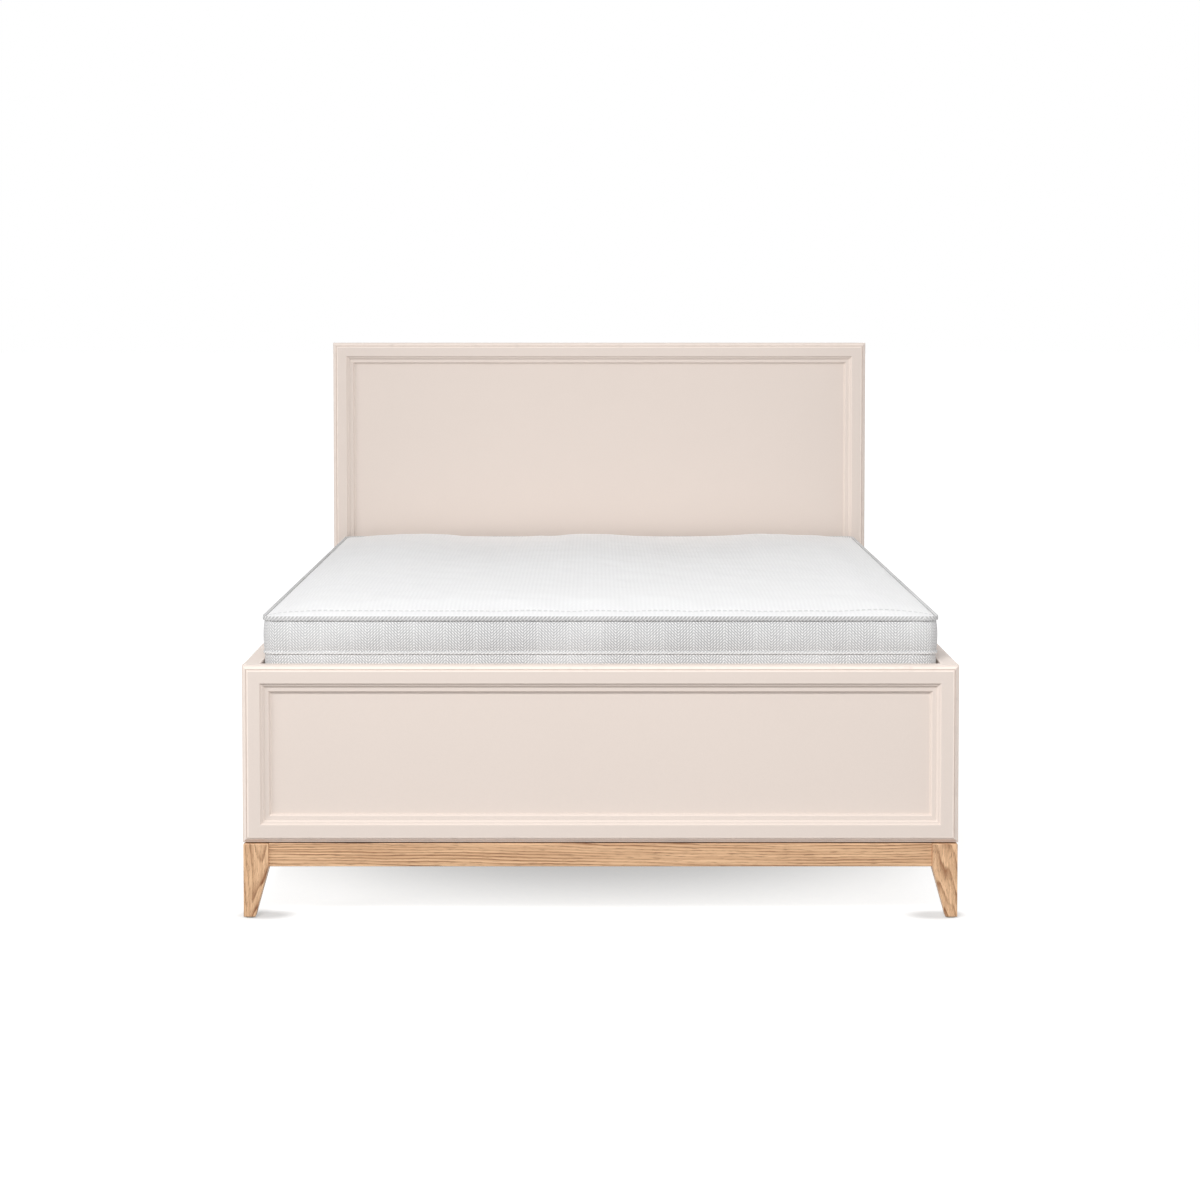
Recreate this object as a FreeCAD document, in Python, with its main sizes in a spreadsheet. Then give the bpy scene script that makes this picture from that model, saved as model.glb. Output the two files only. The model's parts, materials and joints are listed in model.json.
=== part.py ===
"""Storage bed: a framed box bed whose slatted platform lifts at the foot end.

Origin on the floor at the middle of the bed. X runs across the bed, the foot end
is at -Y, the headboard at +Y, and Z points up. All sizes are in millimetres.
"""

import FreeCAD, Part
import Sketcher
import math
import os
import re

Vector = FreeCAD.Vector
Rotation = FreeCAD.Rotation
ACROSS = Vector(1, 0, 0)
ALONG = Vector(0, 1, 0)
UP = Vector(0, 0, 1)
SIDES = {"right": 1, "left": -1}

# Driving sizes, one sheet cell each
SIZES = {
    # Mattress
    "mattress_width": 1400,
    "mattress_length": 2000,
    "mattress_height": 200,
    "mattress_crown": 20,
    "mattress_side_gap": 2,
    "mattress_foot_gap": 12,
    "mattress_head_gap": 24,
    "mattress_sink": 99,
    "mattress_corner_radius": 34,
    "lower_band_height": 122,
    "seam_pinch": 4,
    "tape_inset": 7,
    "tape_height": 8,
    "tape_proud": 3,
    "tape_depth": 16,
    "bottom_round": 14,
    "border_bow": 3,
    "crown_roll": 130,
    "cover_thickness": 12,
    "soft_clearance": 0.3,
    # Painted boards and their moulded frames
    "board_thickness": 35,
    "side_rail_thickness": 35,
    "box_height": 367,
    "headboard_height": 997,
    "member_width": 59,
    "band_width": 4,
    "band_setback": 8,
    "ovolo_width": 10,
    "ovolo_radius": 9,
    "flat_width": 22,
    "step_width": 4,
    "step_drop": 4,
    "step_land": 2,
    "cove_width": 4,
    "cove_drop": 5.5,
    "cove_radius": 5.5,
    "ledge_width": 8,
    "ledge_drop": 0.5,
    "ogee_drop": 4,
    "ogee_radius": 5,
    "groove_depth": 10,
    "groove_back": 7,
    "panel_thickness": 12,
    # Oak legs and plinth
    "glide_height": 3,
    "glide_radius": 9,
    "leg_height": 154,
    "leg_top_width": 52,
    "leg_foot_width": 24.5,
    "leg_inset": 1.5,
    "plinth_height": 50,
    "plinth_thickness": 22,
    "plinth_recess": 6,
    # Storage floor and its supports
    "batten_width": 20,
    "batten_height": 38,
    "beam_width": 40,
    "beam_height": 40,
    "centre_leg_radius": 20,
    "centre_leg_spacing": 900,
    "centre_glide_radius": 12,
    "floor_thickness": 9,
    "floor_clearance": 0.3,
    # Corner brackets and their bolts
    "bracket_thickness": 3,
    "bracket_height": 120,
    "bracket_track_gap": 15,
    "bracket_board_leg": 24,
    "bracket_rail_leg": 60,
    "bracket_bolt_radius": 4,
    "bracket_bolt_depth": 22,
    "bracket_bolt_spacing": 70,
    "bolt_head_radius": 6.5,
    "bolt_head_height": 4,
    # Platform frame
    "tube_width": 30,
    "tube_height": 30,
    "tube_wall": 2,
    "mechanism_depth": 42,
    "frame_foot_inset": 4,
    "frame_head_inset": 10,
    "rest_height": 40,
    "rest_thickness": 34,
    "rest_side_gap": 62,
    "block_length": 60,
    "block_width": 62,
    "foot_block_share": 0.3,
    "middle_block_share": 0.77,
    # Sprung slats and their holders
    "slat_width": 63,
    "slat_thickness": 8,
    "slat_end_margin": 60,
    "holder_height": 11,
    "holder_length": 32,
    "holder_wall": 4,
    "holder_floor": 2,
    # Lift linkage
    "pin_drop": 6,
    "glide_setback": 34,
    "arm_length": 600,
    "lift_angle": 40,
    "plate_thickness": 5,
    "plate_margin": 40,
    "plate_foot": 15,
    "plate_floor_gap": 2,
    "arm_gap": 1,
    "arm_thickness": 6,
    "arm_half_height": 16,
    "pin_radius": 6,
    "pin_clearance": 0.05,
    "pin_cap_radius": 9,
    "pin_cap_thickness": 2.4,
    "pin_cap_gap": 0.3,
    "lift_bracket_thickness": 5,
    "lift_bracket_lip": 12,
    "arm_bracket_length": 70,
    "glide_bracket_length": 44,
    "track_wall": 3,
    "track_depth": 18,
    "track_end_room": 2,
    "track_play": 0.15,
    "track_glide_radius": 10,
    "track_glide_length": 11,
    "track_glide_gap": 2,
    "track_pin_radius": 5,
    "screw_radius": 2.5,
    "screw_depth": 20,
    "screw_head_radius": 5,
    "screw_head_height": 2.5,
    "screw_margin": 22,
    "track_screw_spacing": 100,
    # Gas struts
    "strut_base_reach": 155,
    "strut_gap": 2,
    "barrel_radius": 10,
    "barrel_bore_radius": 8,
    "barrel_start": 12,
    "rod_show": 22.5,
    "barrel_end_wall": 6,
    "barrel_foot_wall": 8,
    "rod_radius": 4,
    "rod_foot": 26,
    "piston_length": 10,
    "rod_clearance": 0.05,
    "strut_eye_radius": 9,
    "strut_eye_width": 12,
    "strut_neck_radius": 5,
    "strut_pin_radius": 5,
    "strut_collar_radius": 8,
    "strut_collar_gap": 0.5,
    "strut_clip_thickness": 3.5,
    # Mattress stops and pull strap at the foot end
    "stop_wire_radius": 4,
    "stop_width": 120,
    "stop_spacing": 700,
    "stop_height": 110,
    "stop_tab_width": 24,
    "stop_foot_rise": 4,
    "strap_width": 40,
    "strap_thickness": 4,
    "strap_offset": 7,
    "strap_height": 112,
    "strap_foot_rise": 6,
}

SLATS_IN_ROW = 14
SLAT_STEPS = SLATS_IN_ROW - 1
TRACK_SCREWS = 3

# Sizes worked out from the driving ones
DERIVED = {
    "inner_half_width": "mattress_width / 2 + mattress_side_gap",
    "outer_half_width": "inner_half_width + side_rail_thickness",
    "inner_length": "mattress_length + mattress_foot_gap + mattress_head_gap",
    "head_face": "inner_length / 2",
    "outer_half_length": "head_face + board_thickness",
    "box_bottom": "glide_height + leg_height",
    "box_top": "box_bottom + box_height",
    "leg_outer_x": "outer_half_width - leg_inset",
    "leg_outer_y": "outer_half_length - leg_inset",
    "leg_inner_x": "leg_outer_x - leg_top_width",
    "leg_inner_y": "leg_outer_y - leg_top_width",
    "plinth_bottom": "box_bottom - plinth_height",
    "plinth_inner_x": "outer_half_width - plinth_recess - plinth_thickness",
    "plinth_inner_y": "outer_half_length - plinth_recess - plinth_thickness",
    "panel_inset": "member_width - groove_depth",
    "holder_top": "box_top - mattress_sink",
    "tube_top": "holder_top - holder_height",
    "tube_bottom": "tube_top - tube_height",
    "tube_outer": "inner_half_width - mechanism_depth",
    "tube_inner": "tube_outer - tube_width",
    "frame_foot": "-head_face + mattress_foot_gap + frame_foot_inset",
    "frame_head": "head_face - mattress_head_gap - frame_head_inset",
    "frame_length": "frame_head - frame_foot",
    "mattress_bottom": "holder_top + soft_clearance",
    "mattress_middle": "(mattress_foot_gap - mattress_head_gap) / 2",
    "pin_z": "tube_bottom - pin_drop",
    "glide_pin_y": "head_face - mattress_head_gap - glide_setback",
    "arm_pin_y": "glide_pin_y - arm_length",
    "hinge_pin_y": "arm_pin_y - arm_length",
    "glide_travel": "2 * arm_length * (1 - cos(lift_angle))",
    "plate_face": "inner_half_width - plate_thickness",
    "arm_outer": "plate_face - arm_gap",
    "arm_inner": "arm_outer - arm_thickness",
    "strut_x": "arm_inner - strut_gap - barrel_radius",
    "strut_base_y": "hinge_pin_y + strut_base_reach",
    "strut_base_z": "box_bottom + floor_thickness + plate_floor_gap + plate_foot",
    "strut_base_drop": "pin_z - strut_base_z",
    "strut_radius": "sqrt(strut_base_reach^2 + strut_base_drop^2)",
    "strut_arm_y": "hinge_pin_y + strut_radius",
    "strut_closed": "sqrt((strut_radius - strut_base_reach)^2 + strut_base_drop^2)",
    "strut_lean": "atan((strut_radius - strut_base_reach) / strut_base_drop)",
    "barrel_length": "strut_closed - barrel_start - rod_show",
    "strut_eye_low": "strut_x - strut_eye_width / 2",
    "strut_eye_high": "strut_x + strut_eye_width / 2 + strut_collar_gap",
    "track_slot": "track_glide_radius + track_play",
    "track_mouth": "inner_half_width - track_depth",
    "track_head": "glide_pin_y + track_glide_radius + track_end_room + track_wall",
    "track_foot": "glide_pin_y - glide_travel - track_glide_radius - track_end_room - track_wall",
    "bracket_bottom": "pin_z - track_slot - track_wall - bracket_track_gap - bracket_height",
    "slat_pitch": f"(frame_length - 2 * slat_end_margin) / {SLAT_STEPS}",
    "slat_bottom": "tube_top + holder_floor",
    "block_run": "head_face + hinge_pin_y - plate_margin",
    "stop_y": "-head_face + mattress_foot_gap / 2",
    "rest_top": "tube_bottom",
}

doc = FreeCAD.newDocument("storage_bed")
sheet = doc.addObject("Spreadsheet::Sheet", "dims")
for row, (alias, size) in enumerate(SIZES.items(), start=1):
    sheet.set(f"A{row}", str(size))
    sheet.setAlias(f"A{row}", alias)
doc.recompute()

WORDS = re.compile(r"[a-z][a-z_]+")
nodes = {}


def formula(text):
    """Spell a formula out in sheet cells, with each derived size in brackets."""

    def spell(match):
        word = match.group()
        if word in DERIVED:
            return f"({formula(DERIVED[word])})"
        return f"dims.{word}" if word in SIZES else word

    return WORDS.sub(spell, str(text))


def value(text):
    """The present value of a formula, as a plain number."""
    result = sheet.evalExpression(formula(text))
    return float(getattr(result, "Value", result))


def bind(piece, settings):
    """Tie properties of a piece to formulas."""
    for name, text in settings.items():
        piece.setExpression(name, formula(text))
    return piece


def place(piece, at, turn=None):
    """Put a piece at a point given by three formulas, turned by a fixed rotation."""
    piece.Placement = FreeCAD.Placement(Vector(), turn or Rotation())
    return bind(piece, {f"Placement.Base.{axis}": text for axis, text in zip("xyz", at)})


def box(name, size, at):
    """A block from its lowest corner."""
    piece = doc.addObject("Part::Box", name)
    bind(piece, dict(zip(("Length", "Width", "Height"), size)))
    return place(piece, at)


def cylinder(name, direction, radius, length, at):
    """A round bar that runs from a point along a row axis."""
    piece = doc.addObject("Part::Cylinder", name)
    bind(piece, {"Radius": radius, "Height": length})
    return place(piece, at, Rotation(UP, direction))


def cut(name, base, *tools):
    """A piece with one or more tools taken out of it."""
    piece = doc.addObject("Part::Cut", name)
    piece.Base = base
    piece.Tool = tools[0] if len(tools) == 1 else group(name + "_tools", tools)
    return piece


def fuse(name, *pieces):
    """Several solids made one."""
    piece = doc.addObject("Part::MultiFuse", name)
    piece.Shapes = list(pieces)
    return piece


def group(name, pieces):
    """Separate solids kept together."""
    piece = doc.addObject("Part::Compound", name)
    piece.Links = list(pieces)
    return piece


def mirror(name, source, normal=ACROSS):
    """The same piece on the other side of the middle of the bed."""
    piece = doc.addObject("Part::Mirroring", name)
    piece.Source = source
    piece.Normal = normal
    return piece


def keep(name, piece):
    """Make a finished piece one of the bed's nodes."""
    piece.Label = name
    nodes[name] = piece
    return piece


def keep_pair(stem, piece):
    """Keep the right-hand piece and its mirror image."""
    keep(f"right_{stem}", piece)
    keep(f"left_{stem}", mirror(f"left_{stem}_mirror", piece))


def arc_middle(start, end, radius, side):
    """The middle of an arc between two corners, bulging to the left (1) or right (-1)."""
    chord = end - start
    rise = radius - math.sqrt(radius ** 2 - (chord.Length / 2) ** 2)
    normal = Vector(-chord.y, chord.x, 0).normalize()
    return (start + end) / 2 + normal * rise * side


def outline(name, corners):
    """A closed sketch. Each corner is two formulas, and may add (radius, side) for an arc."""
    drawing = doc.addObject("Sketcher::SketchObject", name)
    points = [Vector(value(corner[0]), value(corner[1]), 0) for corner in corners]
    count = len(corners)
    ends = []
    for index, corner in enumerate(corners):
        start, end = points[index], points[(index + 1) % count]
        if len(corner) == 2:
            drawing.addGeometry(Part.LineSegment(start, end))
            ends.append((1, 2))
        else:
            middle = arc_middle(start, end, value(corner[2]), corner[3])
            drawing.addGeometry(Part.Arc(start, middle, end))
            ends.append((2, 1) if corner[3] > 0 else (1, 2))
    for index, corner in enumerate(corners):
        following = (index + 1) % count
        drawing.addConstraint(
            Sketcher.Constraint("Coincident", index, ends[index][1], following, ends[following][0])
        )
        for kind, text in zip(("DistanceX", "DistanceY"), corner):
            number = drawing.addConstraint(
                Sketcher.Constraint(kind, -1, 1, index, ends[index][0], value(text))
            )
            drawing.setExpression(f"Constraints[{number}]", formula(text))
        if len(corner) > 2:
            number = drawing.addConstraint(Sketcher.Constraint("Radius", index, value(corner[2])))
            drawing.setExpression(f"Constraints[{number}]", formula(corner[2]))
    return drawing


def extrude(name, drawing, length, centred=False):
    """A solid pushed out of a sketch along its normal."""
    piece = doc.addObject("Part::Extrusion", name)
    piece.Base = drawing
    piece.DirMode = "Normal"
    piece.Solid = True
    piece.Symmetric = centred
    return bind(piece, {"LengthFwd": length})


def side_outline(name, corners, at_x):
    """A sketch that stands in the YZ plane, looking along -X."""
    return place(outline(name, corners), (at_x, 0, 0), Rotation(ALONG, UP, ACROSS, "XYZ"))


def moulding_section():
    """Section of a frame member: u from its outer edge inwards, v from its back to its front."""
    u_ovolo = "band_width + ovolo_width"
    u_flat = u_ovolo + " + flat_width"
    u_step = u_flat + " + step_width"
    u_land = u_step + " + step_land"
    u_cove = u_land + " + cove_width"
    u_ledge = u_cove + " + ledge_width"
    v_band = "board_thickness - band_setback"
    v_step = "board_thickness - step_drop"
    v_cove = v_step + " - cove_drop"
    v_ledge = v_cove + " - ledge_drop"
    groove_front = "groove_back + panel_thickness"
    return outline("moulding_section", [
        (0, 0),
        (0, v_band),
        ("band_width", v_band, "ovolo_radius", 1),
        (u_ovolo, "board_thickness"),
        (u_flat, "board_thickness"),
        (u_step, v_step),
        (u_land, v_step, "cove_radius", -1),
        (u_cove, v_cove),
        (u_ledge, v_ledge, "ogee_radius", 1),
        ("member_width", v_ledge + " - ogee_drop"),
        ("member_width", groove_front),
        ("panel_inset", groove_front),
        ("panel_inset", "groove_back"),
        ("member_width", "groove_back"),
        ("member_width", 0),
    ])


def mitred_stock(name, section, length):
    """The moulding and the mitred outline that a member of one length is cut to."""
    bar = extrude(name + "_bar", section, length, centred=True)
    half = f"({length}) / 2"
    mitre = outline(name + "_mitre", [
        (0, f"-{half}"),
        (0, half),
        ("member_width", f"{half} - member_width"),
        ("member_width", f"-{half} + member_width"),
    ])
    place(mitre, (0, "board_thickness", 0), Rotation(ACROSS, UP, -ALONG, "XYZ"))
    return bar, extrude(name + "_prism", mitre, "board_thickness")


def frame_member(name, stock, at, turn):
    """One mitred member of a moulded frame, set in its place."""
    piece = doc.addObject("Part::Common", name + "_member")
    piece.Base, piece.Tool = stock
    place(piece, at, turn)
    return keep(name, piece)


def framed_board(name, height, back_y, across_stock, upright_stock):
    """A head or foot board: four mitred members round a panel set in their grooves."""
    front = -ALONG
    middle_z = f"box_bottom + ({height}) / 2"
    frame_member(f"{name}_top_rail", across_stock, (0, back_y, f"box_bottom + {height}"),
                 Rotation(-UP, front, -ACROSS, "XYZ"))
    frame_member(f"{name}_bottom_rail", across_stock, (0, back_y, "box_bottom"),
                 Rotation(UP, front, ACROSS, "XYZ"))
    for side, sign in SIDES.items():
        frame_member(f"{name}_{side}_stile", upright_stock,
                     (f"{sign} * outer_half_width", back_y, middle_z),
                     Rotation(ACROSS * -sign, front, UP * sign, "XYZ"))
    keep(f"{name}_panel", box(
        name + "_panel_block",
        ("2 * (outer_half_width - panel_inset)", "panel_thickness", f"{height} - 2 * panel_inset"),
        ("-(outer_half_width - panel_inset)", f"{back_y} - groove_back - panel_thickness",
         "box_bottom + panel_inset"),
    ))


def painted_boards():
    """Headboard and footboard."""
    section = moulding_section()
    across = mitred_stock("across", section, "2 * outer_half_width")
    tall = mitred_stock("tall", section, "headboard_height")
    low = mitred_stock("low", section, "box_height")
    framed_board("headboard", "headboard_height", "outer_half_length", across, tall)
    framed_board("footboard", "box_height", "-head_face", across, low)


def plate_screw_places():
    """Where the screws of one hinge plate and one track go, as (y, z) formulas."""
    near = "hinge_pin_y - screw_margin"
    far = "hinge_pin_y + plate_margin + screw_margin"
    low = "strut_base_z - screw_radius"
    places = [
        (near, "pin_z - 2 * screw_margin"),
        (near, low),
        (far, low),
        (far, "pin_z - 3 * screw_margin"),
    ]
    first = "track_head - track_wall - track_end_room - 4 * track_glide_radius"
    places += [(f"{first} - {step} * track_screw_spacing", "pin_z") for step in range(TRACK_SCREWS)]
    return places


def bracket_bolt_places():
    """Heights of the two bolts in each leg of a corner bracket."""
    middle = "bracket_bottom + bracket_height / 2"
    return [f"{middle} + {sign} * bracket_bolt_spacing / 2" for sign in (-1, 1)]


def side_rails():
    """The two plain side boards, with holes for the bracket bolts and the plate screws."""
    rail = box("side_rail_board", ("side_rail_thickness", "inner_length", "box_height"),
               ("inner_half_width", "-head_face", "box_bottom"))
    holes = []
    for index, (y, z) in enumerate(plate_screw_places()):
        holes.append(cylinder(f"rail_screw_hole_{index}", ACROSS, "screw_radius", "screw_depth",
                              ("inner_half_width", y, z)))
    for end in (-1, 1):
        y = f"{end} * (head_face - bracket_rail_leg / 2)"
        for level, z in enumerate(bracket_bolt_places()):
            holes.append(cylinder(f"rail_bolt_hole_{end + 1}_{level}", ACROSS, "bracket_bolt_radius",
                                  "bracket_bolt_depth", ("inner_half_width", y, z)))
    keep_pair("side_rail", cut("side_rail_drilled", rail, *holes))


def legs():
    """Four oak legs, square above and tapered on their two inner faces below."""
    block = box("leg_block", ("leg_top_width", "leg_top_width", "plinth_height"),
                ("leg_inner_x", "-leg_outer_y", "plinth_bottom"))
    taper = doc.addObject("Part::Wedge", "leg_taper")
    bind(taper, {
        "Ymin": 0, "Ymax": "plinth_bottom - glide_height",
        "Xmin": "-leg_foot_width", "Xmax": 0, "Zmin": "-leg_foot_width", "Zmax": 0,
        "X2min": "-leg_top_width", "X2max": 0, "Z2min": "-leg_top_width", "Z2max": 0,
    })
    place(taper, ("leg_outer_x", "-leg_outer_y", "glide_height"), Rotation(ACROSS, UP, -ALONG, "XYZ"))
    front = fuse("leg_front", block, taper)
    rear = mirror("leg_rear", front, ALONG)
    for end, leg in (("front", front), ("rear", rear)):
        keep(f"{end}_right_leg", leg)
        keep(f"{end}_left_leg", mirror(f"{end}_left_leg_mirror", leg))


def plinth():
    """Oak rails between the legs, set back under the painted box."""
    front = box("plinth_front", ("2 * leg_inner_x", "plinth_thickness", "plinth_height"),
                ("-leg_inner_x", "-outer_half_length + plinth_recess", "plinth_bottom"))
    keep("front_plinth_rail", front)
    keep("rear_plinth_rail", mirror("plinth_rear", front, ALONG))
    keep_pair("plinth_rail", box("plinth_side",
                                 ("plinth_thickness", "2 * leg_inner_y", "plinth_height"),
                                 ("plinth_inner_x", "-leg_inner_y", "plinth_bottom")))


def storage_floor():
    """Battens inside the plinth, a centre beam on two legs, and two floor panels."""
    batten_z = "box_bottom - batten_height"
    front = box("batten_front", ("2 * leg_inner_x", "batten_width", "batten_height"),
                ("-leg_inner_x", "-plinth_inner_y", batten_z))
    right = box("batten_right", ("batten_width", "2 * leg_inner_y", "batten_height"),
                ("plinth_inner_x - batten_width", "-leg_inner_y", batten_z))
    keep("floor_battens", group("battens", [
        front, mirror("batten_rear", front, ALONG), right, mirror("batten_left", right),
    ]))
    half_beam = "(plinth_inner_y - batten_width)"
    keep("centre_beam", box("beam", ("beam_width", f"2 * {half_beam}", "beam_height"),
                            ("-beam_width / 2", f"-{half_beam}", "box_bottom - beam_height")))
    post = cylinder("centre_post", UP, "centre_leg_radius", "box_bottom - beam_height - glide_height",
                    (0, "-centre_leg_spacing / 2", "glide_height"))
    keep("centre_legs", group("centre_posts", [post, mirror("centre_post_rear", post, ALONG)]))
    middle = "leg_foot_width / 2"
    foot = cylinder("corner_glide", UP, "glide_radius", "glide_height",
                    (f"leg_outer_x - {middle}", f"-leg_outer_y + {middle}", 0))
    foot_left = mirror("corner_glide_left", foot)
    pad = cylinder("centre_glide", UP, "centre_glide_radius", "glide_height",
                   (0, "-centre_leg_spacing / 2", 0))
    keep("leg_glides", group("glides", [
        foot, foot_left, mirror("rear_glide", foot, ALONG),
        mirror("rear_glide_left", foot_left, ALONG),
        pad, mirror("centre_glide_rear", pad, ALONG),
    ]))
    keep_pair("floor_panel", box(
        "floor_board",
        ("inner_half_width - 2 * floor_clearance", "inner_length - 2 * floor_clearance",
         "floor_thickness"),
        ("floor_clearance", "-head_face + floor_clearance", "box_bottom")))


def corner_brackets():
    """Steel angles that tie the side rails to the boards, with their bolts."""
    inner_x = "inner_half_width"
    face_y = "head_face"
    angle = outline("bracket_outline", [
        (inner_x, f"-{face_y}"),
        (inner_x, f"-{face_y} + bracket_rail_leg"),
        (f"{inner_x} - bracket_thickness", f"-{face_y} + bracket_rail_leg"),
        (f"{inner_x} - bracket_thickness", f"-{face_y} + bracket_thickness"),
        (f"{inner_x} - bracket_board_leg", f"-{face_y} + bracket_thickness"),
        (f"{inner_x} - bracket_board_leg", f"-{face_y}"),
    ])
    place(angle, (0, 0, "bracket_bottom"))
    blank = extrude("bracket_blank", angle, "bracket_height")
    bolts = []
    holes = []
    for level, z in enumerate(bracket_bolt_places()):
        y = f"-{face_y} + bracket_rail_leg / 2"
        holes.append(cylinder(f"bracket_hole_{level}", -ACROSS, "bracket_bolt_radius",
                              "bracket_board_leg", (inner_x, y, z)))
        head = cylinder(f"bolt_head_{level}", -ACROSS, "bolt_head_radius", "bolt_head_height",
                        (f"{inner_x} - bracket_thickness", y, z))
        shank = cylinder(f"bolt_shank_{level}", -ACROSS, "bracket_bolt_radius",
                         "bracket_bolt_depth + bracket_thickness",
                         (f"{inner_x} + bracket_bolt_depth", y, z))
        bolts.append(fuse(f"bracket_bolt_{level}", head, shank))
    front = cut("bracket_front", blank, *holes)
    ends = [front, mirror("bracket_rear", front, ALONG)]
    keep("corner_brackets", group("brackets", ends + [
        mirror(f"bracket_left_{index}", piece) for index, piece in enumerate(ends)]))
    bolts += [mirror(f"bolt_rear_{index}", bolt, ALONG) for index, bolt in enumerate(bolts)]
    keep("bracket_bolts", group("bolts", bolts + [
        mirror(f"bolt_left_{index}", bolt) for index, bolt in enumerate(bolts)]))


def platform_rests():
    """The rail and the blocks that carry the closed platform."""
    keep("foot_rest_rail", box(
        "foot_rest", ("2 * (inner_half_width - rest_side_gap)", "rest_thickness", "rest_height"),
        ("-(inner_half_width - rest_side_gap)", "-head_face", "rest_top - rest_height")))
    blocks = []
    for stem in ("foot", "middle"):
        middle = f"-head_face + {stem}_block_share * block_run"
        right = box(f"{stem}_rest_block", ("block_width", "block_length", "rest_height"),
                    ("inner_half_width - block_width", f"{middle} - block_length / 2",
                     "rest_top - rest_height"))
        blocks += [right, mirror(f"{stem}_rest_block_left", right)]
    keep("side_rest_blocks", group("rest_blocks", blocks))


def hinge_plates():
    """Plates on the side rails that carry the arm's pin and the strut's foot pin."""
    drawing = side_outline("plate_outline", [
        ("hinge_pin_y - plate_margin", "strut_base_z - plate_foot"),
        ("strut_base_y + plate_margin", "strut_base_z - plate_foot"),
        ("strut_base_y + plate_margin", "strut_base_z + plate_margin"),
        ("hinge_pin_y + plate_margin", "pin_z + arm_half_height"),
        ("hinge_pin_y - plate_margin", "pin_z + arm_half_height"),
    ], "plate_face")
    blank = extrude("plate_blank", drawing, "plate_thickness")
    arm_pin = ("plate_face", "hinge_pin_y", "pin_z")
    cap_face = "arm_inner - pin_cap_gap"
    foot_pin = ("plate_face", "strut_base_y", "strut_base_z")
    plate = fuse(
        "plate_with_pins", blank,
        cylinder("plate_arm_pin", -ACROSS, "pin_radius", f"plate_face - ({cap_face})", arm_pin),
        cylinder("plate_arm_cap", -ACROSS, "pin_cap_radius", "pin_cap_thickness",
                 (cap_face,) + arm_pin[1:]),
        cylinder("plate_strut_collar", -ACROSS, "strut_collar_radius",
                 "plate_face - strut_eye_high", foot_pin),
        cylinder("plate_strut_pin", -ACROSS, "strut_pin_radius",
                 "plate_face - strut_eye_low + strut_collar_gap + strut_clip_thickness", foot_pin),
        cylinder("plate_strut_clip", -ACROSS, "strut_collar_radius", "strut_clip_thickness",
                 ("strut_eye_low - strut_collar_gap",) + foot_pin[1:]),
    )
    holes = [cylinder(f"plate_screw_hole_{index}", ACROSS, "screw_radius", "plate_thickness",
                      ("plate_face", y, z))
             for index, (y, z) in enumerate(plate_screw_places()[:-TRACK_SCREWS])]
    keep_pair("hinge_plate", cut("plate_drilled", plate, *holes))


def glide_tracks():
    """Closed channels on the side rails that the platform's head end slides in."""
    length = "track_head - track_foot"
    outside = box("track_outside",
                  ("track_depth", length, "2 * (track_slot + track_wall)"),
                  ("track_mouth", "track_foot", "pin_z - track_slot - track_wall"))
    slot = box("track_inside",
               ("track_depth - track_wall", f"{length} - 2 * track_wall", "2 * track_slot"),
               ("track_mouth", "track_foot + track_wall", "pin_z - track_slot"))
    holes = [cylinder(f"track_screw_hole_{index}", ACROSS, "screw_radius", "track_wall",
                      ("inner_half_width - track_wall", y, z))
             for index, (y, z) in enumerate(plate_screw_places()[-TRACK_SCREWS:])]
    keep_pair("glide_track", cut("track_drilled", outside, slot, *holes))


def plate_screws():
    """Pan-head screws of the hinge plates, and flush screws of the tracks."""
    screws = []
    for index, (y, z) in enumerate(plate_screw_places()):
        in_track = index >= len(plate_screw_places()) - TRACK_SCREWS
        seat = "inner_half_width - " + ("track_wall" if in_track else "plate_thickness")
        wall = "track_wall" if in_track else "plate_thickness"
        shank = cylinder(f"screw_shank_{index}", ACROSS, "screw_radius", f"screw_depth + {wall}",
                         (seat, y, z))
        if in_track:
            screws.append(shank)
        else:
            head = cylinder(f"screw_head_{index}", -ACROSS, "screw_head_radius",
                            "screw_head_height", (seat, y, z))
            screws.append(fuse(f"screw_{index}", head, shank))
    keep("plate_screws", group("screws", screws + [
        mirror(f"screw_left_{index}", screw) for index, screw in enumerate(screws)]))


def lift_arms():
    """Flat arms from the hinge plates to the platform, each with a pin for its strut."""
    bar = box("arm_bar", ("arm_thickness", "arm_length", "2 * arm_half_height"),
              ("arm_inner", "hinge_pin_y", "pin_z - arm_half_height"))
    ends = {"hinge": "hinge_pin_y", "platform": "arm_pin_y"}
    eyes = [cylinder(f"arm_{end}_eye", ACROSS, "arm_half_height", "arm_thickness",
                     ("arm_inner", y, "pin_z")) for end, y in ends.items()]
    holes = [cylinder(f"arm_{end}_hole", ACROSS, "pin_radius + pin_clearance", "arm_thickness",
                      ("arm_inner", y, "pin_z")) for end, y in ends.items()]
    pin = ("arm_inner", "strut_arm_y", "pin_z")
    arm = fuse(
        "arm_with_pin", bar, *eyes,
        cylinder("arm_strut_collar", -ACROSS, "strut_collar_radius", "arm_inner - strut_eye_high", pin),
        cylinder("arm_strut_pin", -ACROSS, "strut_pin_radius",
                 "arm_inner - strut_eye_low + strut_collar_gap + strut_clip_thickness", pin),
        cylinder("arm_strut_clip", -ACROSS, "strut_collar_radius", "strut_clip_thickness",
                 ("strut_eye_low - strut_collar_gap",) + pin[1:]),
    )
    keep_pair("lift_arm", cut("arm_drilled", arm, *holes))


def strut_eye(name, height):
    """The eye at one end of a strut, drawn with the strut upright on its foot pin."""
    return cylinder(name, ACROSS, "strut_eye_radius", "strut_eye_width",
                    ("-strut_eye_width / 2", 0, height))


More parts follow.
